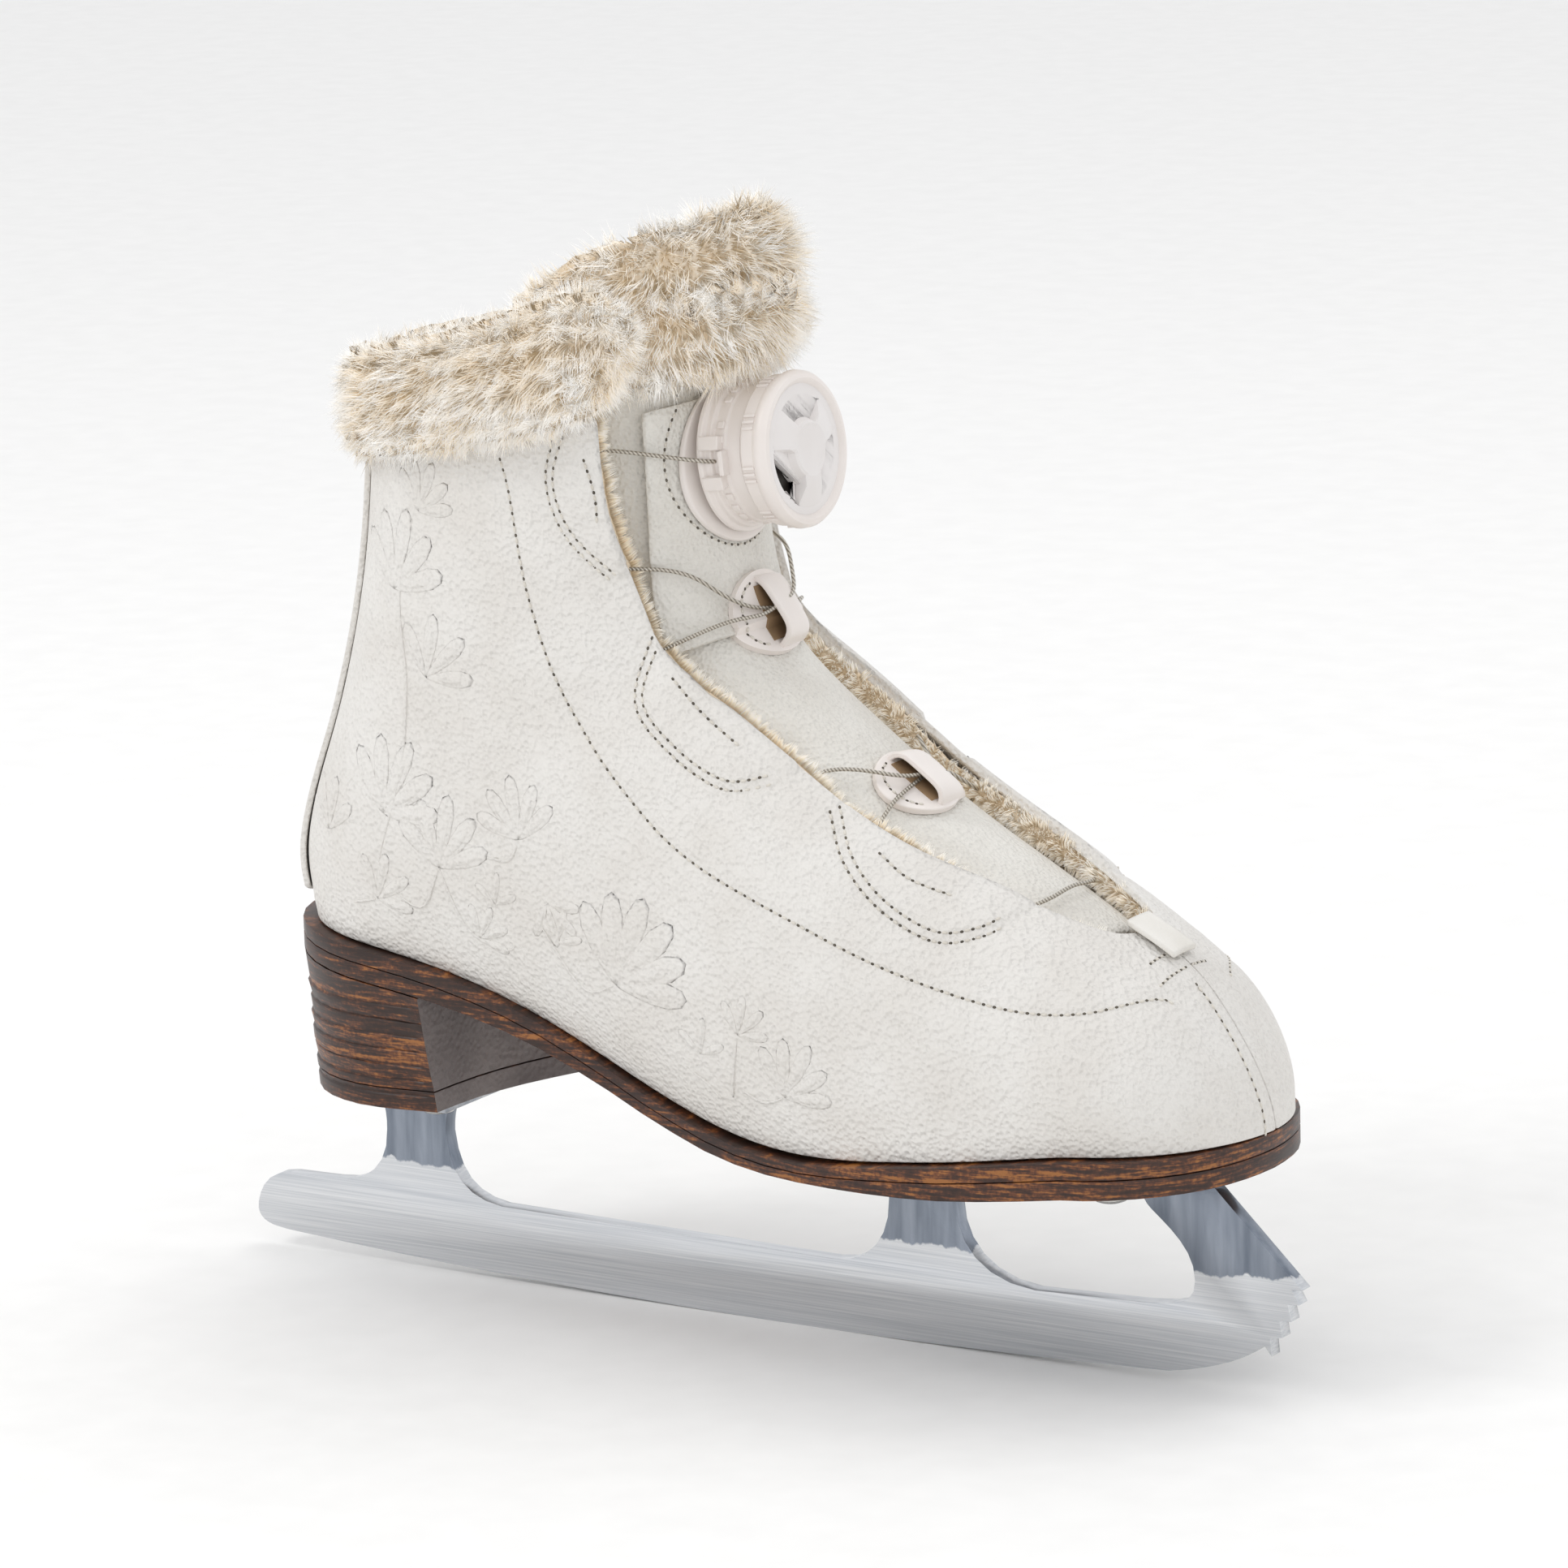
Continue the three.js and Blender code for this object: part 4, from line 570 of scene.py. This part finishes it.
def shapeGuide(node):
    low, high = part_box(node)
    origin, normal = overlaySurface.find_nearest((low + high) / 2)[:2]
    normal = Vector((normal.x, 0, normal.z)).normalized()
    upwards = normal.cross(Vector((0, 1, 0)))

    def onTongue(run, across, height):
        level = Vector((origin.x, across * mm, origin.z)) + upwards * run * mm
        hit = overlaySurface.ray_cast(level + normal * 30 * mm, -normal)[0]
        return (hit or level) + normal * height * mm

    flange = bmesh.new()
    bmesh.ops.create_grid(flange, x_segments=14, y_segments=14, size=1)
    for vert in flange.verts:
        a, b = vert.co.x, vert.co.y
        run = a * math.sqrt(1 - b * b / 2) * guide["flangeLong"] / 2
        across = b * math.sqrt(1 - a * a / 2) * guide["flangeWide"] / 2
        vert.co = onTongue(run, across, guide["flangeGap"] + guide["flangeWall"])
    thickened(flange, normal, guide["flangeWall"])
    piece = newPiece(flange, node + "_flange", 40)
    bevelled(piece, 0.5, 3, 50)
    rounding = settle(baked(piece), mouldedPlastic, "skate", "dial_plastic", node)

    hood = bmesh.new()
    bmesh.ops.create_grid(hood, x_segments=20, y_segments=12, size=1)
    for vert in hood.verts:
        share = (vert.co.y + 1) / 2
        across = guide["hoodFrom"] + (guide["hoodTo"] - guide["hoodFrom"]) * share
        drawnIn = 1 - guide["hoodTaper"] * share ** 3
        run = vert.co.x * guide["hoodLong"] / 2 * drawnIn
        crest = guide["hoodHigh"] + (guide["hoodLow"] - guide["hoodHigh"]) * share
        raised = (1 - abs(vert.co.x) ** 5) ** 0.7 * (1 - share ** 7)
        foot = onTongue(run, across, guide["hoodFoot"])
        top = Vector((origin.x, across * mm, origin.z)) + upwards * run * mm + normal * crest * mm
        vert.co = foot.lerp(top, raised)
    thickened(hood, normal, guide["hoodWall"])
    piece = newPiece(hood, node + "_hood", 40)
    bevelled(piece, 0.3, 2, 50)
    settle(piece, mouldedPlastic, "skate", "dial_plastic")

    # a brown sheet on the floor of the slot under the hood: painted shade where the hood shades the slot
    shadePatch = bmesh.new()
    bmesh.ops.create_grid(shadePatch, x_segments=8, y_segments=8, size=1)
    for vert in shadePatch.verts:
        across = guide["floorFrom"] + (vert.co.y + 1) / 2 * guide["shadeWide"]
        vert.co = onTongue(vert.co.x * guide["shadeLong"] / 2, across, guide["shadeHigh"])
    thickened(shadePatch, normal, guide["shadeWall"])
    settle(newPiece(shadePatch, node + "_slot_shade", 40), slotShade, "skate", "dial_plastic")

    guideRow = []
    rowLong, rowWide = guide["rowRadius"]
    halfRing = [tuple(onTongue(rowLong * math.cos(angle), guide["rowCentre"] - rowWide * math.sin(angle),
                               guide["rowHigh"]) / mm)
                for angle in np.linspace(0.15, math.pi - 0.15, 9)]
    stitchRow(guideRow, surfaceOf(rounding), halfRing, 2.3)
    sew(node, guideRow)


for node in ("cable_guide_upper", "cable_guide_lower"):
    shapeGuide(node)
print("guides made")
rows = []
# the overlay's lower seam, then the ring of stitches round the dial's flange
overlaySeam = [(-14, -21, 166), (-7, -14, 163), (-1.5, -5, 160.5), (-0.5, 0, 160), (-1.5, 5, 160.5),
               (-7, 14, 163), (-14, 21, 166)]
stitchRow(rows, overlaySurface, overlaySeam, 2.4)
turnJoint = [joint for joint in frame["joints"] if joint["name"] == "knob_turn"][0]
axis = Vector(turnJoint["axis"]).normalized()
# the dial's own frame: its foot is where the axis leaves the tongue, this far below the joint
jointHeight = 15
dialFoot = Vector(turnJoint["pos_m"]) - axis * jointHeight * mm
down = Vector((axis.z, 0, -axis.x)).normalized()
sideways = axis.cross(down)
dialFrame = Matrix.Translation(dialFoot) @ Matrix((down, sideways, axis)).transposed().to_4x4()
ringRadius = 20.8
ring = []
for angle in np.linspace(0, math.tau, 49):
    place = dialFrame @ (Vector((math.cos(angle) * ringRadius, math.sin(angle) * ringRadius, 30)) * mm)
    hit = overlaySurface.ray_cast(place, -axis)[0]
    if hit is not None:
        ring.append(tuple(hit / mm))
stitchRow(rows, overlaySurface, ring, 2.3)
sew("tongue", rows)
print("tongue sewn")


# pressed blossoms: fans of low petals on thin stems, scattered over the heel and the side
blossoms = dict(
    # x, z, size in millimetres, lean in degrees, petals
    heads=[(-73, 190, 13, 65, 5), (-82, 171, 20, 75, 5), (-72, 152, 16, 60, 4), (-86, 119, 20, 62, 5),
           (-106, 112, 14, 95, 4), (-90, 98, 13, 50, 4), (-70, 108, 18, 78, 5), (-61, 92, 10, 40, 4),
           (-47, 117, 15, 100, 5), (-40, 103, 11, 300, 4), (-55, 101, 8, 80, 3), (-22, 86, 24, 55, 6),
           (-38, 94, 9, 70, 3), (1, 73, 9, 80, 3), (12, 79, 10, 60, 4), (24, 66, 15, 60, 5)],
    stems=[[(-88, 108), (-80, 130), (-78, 150), (-80, 170), (-75, 189)], [(-84, 100), (-76, 98), (-70, 108)],
           [(-98, 96), (-90, 98)], [(-70, 108), (-64, 94), (-54, 90), (-50, 92)],
           [(-56, 112), (-50, 112), (-47, 117)],
           [(-44, 100), (-32, 84), (-22, 86)], [(-2, 68), (2, 66), (6, 62)], [(10, 70), (9, 64), (12, 79)],
           [(12, 66), (18, 64), (24, 66)]],
    petalWidth=0.36, fan=115, rise=0.5, stemWidth=0.75)


def pressBlossoms(name, side):
    surface = surfaces[name]
    bm = bmesh.new()
    for x, z, size, lean, petals in blossoms["heads"]:
        for number in range(petals):
            share = number / (petals - 1) - 0.5
            turn = math.radians(lean + share * blossoms["fan"])
            length = size * (1 - 0.3 * abs(share)) / 2
            for scale, height in ((1, 0.55), (0.62, 1)):
                ball = bmesh.ops.create_uvsphere(bm, u_segments=12, v_segments=6, radius=1)["verts"]
                for vert in ball:
                    share2 = (vert.co.x * scale + 1) / 2
                    width = size * blossoms["petalWidth"] * (0.3 + 0.7 * share2) * 0.5
                    run = length * (1 + vert.co.x * scale)
                    a = x + math.cos(turn) * run - math.sin(turn) * vert.co.y * scale * width
                    b = z + math.sin(turn) * run + math.cos(turn) * vert.co.y * scale * width
                    start = Vector((a, side * 90, b)) * mm
                    hit, normal = surface.ray_cast(start, Vector((0, -side, 0)))[:2]
                    if hit is None:
                        hit, normal = surface.find_nearest(start)[:2]
                    vert.co = hit + normal * (vert.co.z * blossoms["rise"] * height * mm)
    bmesh.ops.recalc_face_normals(bm, faces=bm.faces)
    settle(newPiece(bm, "pressed_blossoms_" + name, 180), upperLeather, "skate", "boot_leather")
    curve = bpy.data.curves.new("stems", "CURVE")
    curve.dimensions = "3D"
    curve.bevel_depth = blossoms["stemWidth"] / 2 * mm
    curve.bevel_resolution = 1
    curve.use_fill_caps = True
    for stem in blossoms["stems"]:
        places = onSide(surface, side, smoothLine(stem, 1.5))
        spline = curve.splines.new("POLY")
        spline.points.add(len(places) - 1)
        for number, (point, place) in enumerate(zip(spline.points, places)):
            point.co = (*(Vector(place) * mm), 1)
            point.radius = 0.35 + 0.65 * math.sin(math.pi * (number + 1) / (len(places) + 1))
    stems = bpy.data.objects.new("pressed_stems_" + name, curve)
    bpy.context.scene.collection.objects.link(stems)
    settle(baked(stems), upperLeather, "skate", "boot_leather")


for name, side in sides.items():
    pressBlossoms(name, side)
print("blossoms pressed")


# fur and plush: tapered three-sided fibres in leaning clumps
def fibreTemplate():
    bm = bmesh.new()
    bmesh.ops.create_cone(bm, segments=3, radius1=1, radius2=0, depth=1, cap_ends=True)
    bmesh.ops.translate(bm, vec=(0, 0, 0.5), verts=bm.verts)
    bmesh.ops.bisect_plane(bm, geom=bm.verts[:] + bm.edges[:] + bm.faces[:], plane_co=(0, 0, 0.5),
                           plane_no=(0, 0, 1))
    bmesh.ops.triangulate(bm, faces=bm.faces)
    bm.verts.index_update()
    places = np.array([vert.co[:] for vert in bm.verts])
    faces = np.array([[vert.index for vert in face.verts] for face in bm.faces])
    bm.free()
    places[:, :2] /= np.maximum(1 - places[:, 2], 0.02)[:, None]
    return places, faces


template, templateFaces = fibreTemplate()
# how a fibre stands: straight out, with its clump, by itself, curling over, and drawn to the clump's tip
habit = dict(lift=0.8, lean=0.22, stray=0.12, curl=0.3, gather=0.5, inClump=16)


def unit(vectors):
    return vectors / np.maximum(np.linalg.norm(vectors, axis=1), 1e-12)[:, None]


def growPile(name, ground, count, long, thick, comb, seed, keep=None):
    draw = np.random.default_rng(seed)
    comb = np.array(comb, float)
    mesh = ground.data
    mesh.calc_loop_triangles()
    points = np.zeros(len(mesh.vertices) * 3)
    normals = np.zeros(len(mesh.vertices) * 3)
    corners = np.zeros(len(mesh.loop_triangles) * 3, np.int32)
    mesh.vertices.foreach_get("co", points)
    mesh.vertices.foreach_get("normal", normals)
    mesh.loop_triangles.foreach_get("vertices", corners)
    points = points.reshape(-1, 3)
    normals = normals.reshape(-1, 3)
    corners = corners.reshape(-1, 3)
    triangles = points[corners]
    spans = triangles[:, 1:] - triangles[:, :1]
    areas = np.linalg.norm(np.cross(spans[:, 0], spans[:, 1]), axis=1)
    if keep is not None:
        areas = areas * keep(triangles.mean(axis=1) / mm, unit(normals[corners].mean(axis=1)))
    chosen = draw.choice(len(areas), count, p=areas / areas.sum())
    share = draw.random((count, 2))
    share = np.where(share.sum(axis=1, keepdims=True) > 1, 1 - share, share)
    weights = np.column_stack([1 - share.sum(axis=1), share])[:, :, None]
    roots = (triangles[chosen] * weights).sum(axis=1)
    outward = unit((normals[corners[chosen]] * weights).sum(axis=1))
    clumps = count // habit["inClump"]
    tree = kdtree.KDTree(clumps)
    for number in range(clumps):
        tree.insert(roots[number], number)
    tree.balance()
    member = np.array([tree.find(root)[1] for root in roots])
    swirl = unit(draw.normal(size=(clumps, 3)))[member]
    own = unit(draw.normal(size=(count, 3)))
    heading = unit(outward * habit["lift"] + comb + swirl * habit["lean"] + own * habit["stray"])
    reach = long * mm * (0.72 + 0.45 * draw.random(count))[:, None]
    bend = unit(comb + swirl * 0.4 + 1e-6) * habit["curl"]
    clumpTip = (roots[:clumps] + outward[:clumps] * long * 0.8 * mm)[member]
    tips = roots + (heading + bend) * reach
    pull = (clumpTip - tips) * habit["gather"] * np.clip(draw.random(count), 0.3, 1)[:, None]
    first = unit(np.cross(heading, own))
    second = np.cross(heading, first)
    width = thick * mm * (0.75 + 0.5 * draw.random(count))[:, None]
    built = np.zeros((count, len(template), 3))
    for number, (a, b, t) in enumerate(template):
        slim = width * (1 - 0.9 * t ** 1.6)
        built[:, number] = (roots + heading * reach * t + bend * reach * t * t + pull * t * t
                            + (first * a + second * b) * slim / 2)
    faces = (templateFaces[None] + (np.arange(count) * len(template))[:, None, None]).reshape(-1, 3)
    pile = bpy.data.meshes.new(name)
    pile.from_pydata(built.reshape(-1, 3).tolist(), [], faces.tolist())
    tone = np.clip(template[None, :, 2] * 0.95 + draw.normal(0, 0.08, (count, 1)), 0, 1)
    facing = np.repeat(outward, len(template), axis=0)
    for attribute, kind, field, values in (("along", "FLOAT", "value", tone),
                                           ("facing", "FLOAT_VECTOR", "vector", facing)):
        held = pile.attributes.new(attribute, kind, "POINT").data
        held.foreach_set(field, values.ravel().astype(np.float32))
    pile.shade_smooth()
    piece = bpy.data.objects.new(name, pile)
    bpy.context.scene.collection.objects.link(piece)
    return piece


def shrunk(node, depth, creaseShare=0, creaseDepth=0):
    piece = baked(softCopy(node, 2, 0.1))
    low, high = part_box(node)
    crease = low.z + (high.z - low.z) * creaseShare
    for vert in piece.data.vertices:
        folded = creaseDepth * math.exp(-((vert.co.z - crease) / (2.6 * mm)) ** 2) * max(0, vert.normal.x)
        vert.co -= vert.normal * (depth + folded) * mm
    piece.data.update()
    return piece


# each piece keeps under 200,000 triangles, so the collar is grown in three parts and every part in two coats
fur = dict(strands=15000, long=6.8, cuffLong=7.5, thick=0.25, seed=7, cuffSeed=60, comb=(0, 0, -0.2),
           front=-62)
collar = settle(shrunk("collar_fur", 2.6), furGround, "skate", "fur", "collar_fur")
collarParts = dict(back=lambda at, out: at[:, 0] < fur["front"],
                   middle_lateral=lambda at, out: (at[:, 0] >= fur["front"]) & (at[:, 1] < 0),
                   middle_medial=lambda at, out: (at[:, 0] >= fur["front"]) & (at[:, 1] >= 0))
for number, (part, keep) in enumerate(collarParts.items()):
    for coat in (1, 2):
        pile = growPile(f"collar_pile_{part}_{coat}", collar, fur["strands"], fur["long"], fur["thick"],
                        fur["comb"], fur["seed"] + 10 * number + coat, keep)
        settle(pile, furFibre, "skate", "fur")
cuff = settle(shrunk("tongue_cuff", 2.2, 0.56, 5.5), furGround, "skate", "fur", "tongue_cuff")
for coat in (1, 2):
    pile = growPile(f"cuff_pile_{coat}", cuff, fur["strands"], fur["cuffLong"], fur["thick"], fur["comb"],
                    fur["cuffSeed"] + coat)
    settle(pile, furFibre, "skate", "fur")
print("fur grown")

# the plush lining swells out along the throat, inside the cut edge of the leather
throatRoll = dict(radius=2.1, under=3.2, inward=2.4, strands=9000, long=3, thick=0.26, seed=90)
for name, side in sides.items():
    curve = bpy.data.curves.new("throat_roll_" + name, "CURVE")
    curve.dimensions = "3D"
    curve.bevel_depth = throatRoll["radius"] * mm
    curve.use_fill_caps = True
    edge = onSide(surfaces[name], side, smoothLine(sewing["throat"], 3))
    spline = curve.splines.new("POLY")
    spline.points.add(len(edge) - 1)
    for number, (point, place) in enumerate(zip(spline.points, edge)):
        fade = min(1, (len(edge) - 1 - number) / 12)
        spot, normal = surfaces[name].find_nearest(Vector(place) * mm)[:2]
        centre = spot - normal * throatRoll["under"] * mm
        centre.y -= side * throatRoll["inward"] * fade * mm
        point.co = (*centre, 1)
        point.radius = 0.4 + 0.6 * fade
    roll = bpy.data.objects.new("throat_roll_" + name, curve)
    bpy.context.scene.collection.objects.link(roll)
    roll = settle(baked(roll), plushCloth, "skate", "plush_lining")

    def facesIn(at, outward, side=side):
        return outward[:, 1] * side < -0.05

    pile = growPile("throat_plush_" + name, roll, throatRoll["strands"], throatRoll["long"],
                    throatRoll["thick"], (0.1, -side * 0.3, 0.1), throatRoll["seed"] + side, facesIn)
    settle(pile, plushFibre, "skate", "plush_lining")
print("plush grown")


# sole, welt and stacked heel
for node in ("welt", "outsole"):
    piece = softCopy(node, 0)
    bevelled(piece, 0.5, 2)
    settle(baked(piece), soleStack, "skate", "stacked_wood", node)
heel = dict(liftGap=3.7, grooves=7, grooveWidth=0.55, grooveDepth=0.45, margin=0.8, centre=-96,
            breastFrom=-101)


def stackedHeel(node):
    bm = mergedCopy(node)
    low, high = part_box(node)
    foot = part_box("heel_lift")[0].z
    for number in range(1, heel["grooves"] + 1):
        level = foot + number * heel["liftGap"] * mm
        if level < low.z + heel["margin"] * mm or level > high.z - heel["margin"] * mm:
            continue
        for shift in (-1, 0, 1):
            cut = bmesh.ops.bisect_plane(bm, geom=bm.verts[:] + bm.edges[:] + bm.faces[:],
                                         plane_co=(0, 0, level + shift * heel["grooveWidth"] / 2 * mm),
                                         plane_no=(0, 0, 1))["geom_cut"]
            if shift == 0:
                for vert in cut:
                    if isinstance(vert, bmesh.types.BMVert) and vert.normal.x < 0.5:
                        centre = Vector((heel["centre"] * mm, 0, vert.co.z))
                        vert.co += (centre - vert.co).normalized() * heel["grooveDepth"] * mm
    bm.normal_update()
    for face in bm.faces:
        middle = face.calc_center_median()
        if face.normal.x > 0.55 and middle.x > heel["breastFrom"] * mm:
            face.material_index = 1
    piece = newPiece(bm, node + "_finished", 32)
    piece.data.materials.append(soleStack)
    piece.data.materials.append(breastCover)
    bevelled(piece, 0.35, 2, 50)
    return settle(piece, soleStack, "skate", "stacked_wood", node)


for node in ("heel_block", "heel_lift"):
    stackedHeel(node)
print("heel stacked")

# blade, plates and rivets
bladePiece = softCopy("blade", 0)
bevelled(bladePiece, 0.35, 2)
settle(bladePiece, bladeSteel, "skate", "blade_steel", "blade")
for node in ("sole_plate", "heel_plate"):
    piece = softCopy(node, 0)
    bevelled(piece, 0.3, 2)
    settle(piece, plateSteel, "skate", "blade_steel", node)


def turned(profile, steps=64):
    bm = bmesh.new()
    verts = [bm.verts.new((r * mm, 0, h * mm)) for r, h in profile]
    edges = [bm.edges.new(pair) for pair in zip(verts, verts[1:])]
    bmesh.ops.spin(bm, geom=verts + edges, cent=(0, 0, 0), axis=(0, 0, 1), angle=math.tau, steps=steps,
                   use_merge=True)
    bmesh.ops.remove_doubles(bm, verts=bm.verts, dist=0.001 * mm)
    bmesh.ops.recalc_face_normals(bm, faces=bm.faces)
    return bm


for node in sorted(nodes):
    if node.startswith(("sole_screw", "heel_screw")):
        low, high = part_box(node)
        tall = (high.z - low.z) / mm
        bm = turned([(0, 0), (2.4, 0.1), (3.6, 0.55), (4.2, 1.2), (4.2, 1.6), (1.8, 1.6), (1.8, tall - 1.5),
                     (0, tall)], 40)
        bmesh.ops.translate(bm, vec=((low.x + high.x) / 2, (low.y + high.y) / 2, low.z), verts=bm.verts)
        settle(newPiece(bm, node + "_finished"), rivetSteel, "skate", "blade_steel", node)
print("blade and rivets made")


# the lace dial
dial = dict(
    cup=[(0, 2.3), (17.6, 2.3), (17.9, 2.7), (17.9, 3.6), (16.9, 4.2), (16.9, 5.5), (16, 6), (16, 8.6),
         (15.6, 9), (15.6, 12.6), (14.5, 12.7), (14.5, 3.4), (3, 3.4), (3, 17), (0, 17)],
    teeth=30, toothGroup=5, ribGroups=9, ribs=3, ribPitch=5)


def onDial(bm, name, body, material, slotName, *stoodFor, sharp=35, edge=0):
    bm.transform(dialFrame)
    bmesh.ops.recalc_face_normals(bm, faces=bm.faces)
    piece = newPiece(bm, name, sharp)
    if edge:
        bevelled(piece, edge, 2, 40)
    return settle(piece, material, body, slotName, *stoodFor)


def block(bm, size, radius, angle, height):
    cube = bmesh.ops.create_cube(bm, size=mm)["verts"]
    bmesh.ops.scale(bm, vec=size, verts=cube)
    move = Matrix.Rotation(angle, 4, "Z") @ Matrix.Translation(Vector((radius, 0, height)) * mm)
    bmesh.ops.transform(bm, matrix=move, verts=cube)


cupTurned = turned(dial["cup"], 96)
onDial(cupTurned, "dial_cup", "skate", mouldedPlastic, "dial_plastic", "dial_housing", edge=0.2)
lugs = bmesh.new()
for number in range(dial["teeth"]):
    if number % dial["toothGroup"] != dial["toothGroup"] - 1:
        block(lugs, (1, 1.7, 1.8), 16.1, math.tau * number / dial["teeth"], 7.6)
for side in (-1, 1):
    for shift in (-1, 1):
        block(lugs, (3.2, 3.2, 5.2), 16.6, side * math.pi / 2 + shift * 0.26, 5.6)
    block(lugs, (3.2, 5.6, 1.2), 16.6, side * math.pi / 2, 8.7)
onDial(lugs, "dial_lugs", "skate", mouldedPlastic, "dial_plastic", edge=0.25)
grip = turned([(15.3, 13.3), (16.6, 13.3), (17, 13.8), (17, 16.6), (17.3, 17), (17.8, 18), (17.6, 19.4),
               (16.9, 20.3), (15.9, 20.5), (15, 20), (14.6, 19.2), (15.3, 18.6), (15.3, 13.3)], 120)
onDial(grip, "knob_grip_ring", "knob", mouldedPlastic, "dial_plastic", "knob_grip")
ribs = bmesh.new()
for group in range(dial["ribGroups"]):
    for rib in range(dial["ribs"]):
        angle = math.tau * group / dial["ribGroups"] + math.radians((rib - 1) * dial["ribPitch"])
        block(ribs, (0.9, 0.75, 3), 17.1, angle, 15.3)
onDial(ribs, "knob_ribs", "knob", mouldedPlastic, "dial_plastic", edge=0.2)


# the knob's face: a disc with three windows through it, over the dark core, whose dark is partly painted
# shade so that the windows read as deep recesses. Radii and heights in millimetres in the dial's frame,
# angles in degrees
knob = dict(
    faceRings=[(2, 18.6), (6.5, 18.6), (8.2, 18.6), (12.4, 18.6), (13, 18.6), (15.2, 18.4)], faceWall=1.1,
    windowFrom=8.2, windowTo=12.4, windowHalf=23, armFrom=32, armSlope=6,
    # height, radius between the arms, radius at the arms
    capLevels=[(18.7, 7.4, 13.6), (19.6, 7.2, 13.3), (21.2, 6.4, 8.8), (21.6, 5.8, 6.2), (21.4, 5.2, 5.2),
               (21.3, 3, 3)])


def knobFace():
    bm = bmesh.new()
    loops = []
    for radius, height in knob["faceRings"]:
        made = bmesh.ops.create_circle(bm, segments=72, radius=radius * mm)["verts"]
        bmesh.ops.translate(bm, vec=(0, 0, height * mm), verts=made)
        loops.append(made)
    bridged(bm, loops)
    gone = []
    for face in bm.faces:
        middle = face.calc_center_median() / mm
        fromWindow = abs(math.degrees(math.atan2(middle.y, middle.x)) % 120 - 60)
        if knob["windowFrom"] < middle.xy.length < knob["windowTo"] and fromWindow < knob["windowHalf"]:
            gone.append(face)
    bmesh.ops.delete(bm, geom=gone, context="FACES")
    thickened(bm, Vector((0, 0, 1)), knob["faceWall"])
    return bm


onDial(knobFace(), "knob_face", "knob", capPlastic, "dial_plastic", edge=0.15)
# the dark core fills the space just under the face: its plastic colour, darkened further, is painted shade
# seen through the windows
core = turned([(0, 13.3), (14.9, 13.3), (14.9, 17.3), (0, 17.3)], 64)
onDial(core, "knob_core_moulding", "knob", darkPlasticAndShade, "dial_plastic", "knob_core")


# the cap: a boss with three faceted arms between the windows
def starCap():
    bm = bmesh.new()
    loops = []
    for height, waist, arm in knob["capLevels"]:
        ring = bmesh.ops.create_circle(bm, segments=96, radius=mm)["verts"]
        for vert in ring:
            angle = math.atan2(vert.co.y, vert.co.x)
            fromWindow = abs(math.degrees(angle) % 120 - 60)
            share = min(1, max(0, (fromWindow - knob["armFrom"]) / knob["armSlope"]))
            radius = (waist + (arm - waist) * share) * mm
            vert.co = Vector((math.cos(angle) * radius, math.sin(angle) * radius, height * mm))
        loops.append(ring)
    bridged(bm, loops)
    for ring in (loops[0], loops[-1]):
        bmesh.ops.contextual_create(bm, geom=ring)
    return bm


onDial(starCap(), "knob_cap_star", "knob", capPlastic, "dial_plastic", "knob_cap", sharp=14)
for node, body, material, slotName in (
        ("spool", "reel", darkPlasticAndShade, "inner_plastic"), ("cable_windings", "reel", wireRope, "lace_steel"),
        ("pawl_disc", "drive", darkPlasticAndShade, "inner_plastic"),
        ("ratchet_ring", "skate", darkPlasticAndShade, "inner_plastic"),
        ("dial_screw", "skate", rivetSteel, "blade_steel")):
    piece = softCopy(node, 0)
    bevelled(piece, 0.15, 2)
    settle(piece, material, body, slotName, node)
print("dial made")

# floor and soft studio light: each lamp's place and size in metres, and its power in watts
bpy.ops.mesh.primitive_plane_add(size=6)
floor = bpy.context.object
floor.name = "floor"
floor.data.materials.append(floorPaper)
world = bpy.data.worlds.new("studio")
bpy.context.scene.world = world
world.use_nodes = True
world.node_tree.nodes["Background"].inputs["Color"].default_value = linear("F6F7F9")
world.node_tree.nodes["Background"].inputs["Strength"].default_value = 1
lamps = dict(key=((-0.9, -1.0, 1.5), 0.7, 8), fill=((1.3, -1.0, 0.7), 1.2, 1.5),
             top=((0.1, 0.6, 1.6), 0.9, 3))
for name, (place, size, power) in lamps.items():
    lamp = bpy.data.lights.new(name, "AREA")
    lamp.shape = "DISK"
    lamp.size = size
    lamp.energy = power
    holder = bpy.data.objects.new(name, lamp)
    aim = Vector(place) - Vector((0, 0, 0.13))
    holder.matrix_world = Matrix.Translation(place) @ aim.to_track_quat("Z", "Y").to_matrix().to_4x4()
    bpy.context.scene.collection.objects.link(holder)
bpy.context.scene.view_settings.view_transform = "Standard"
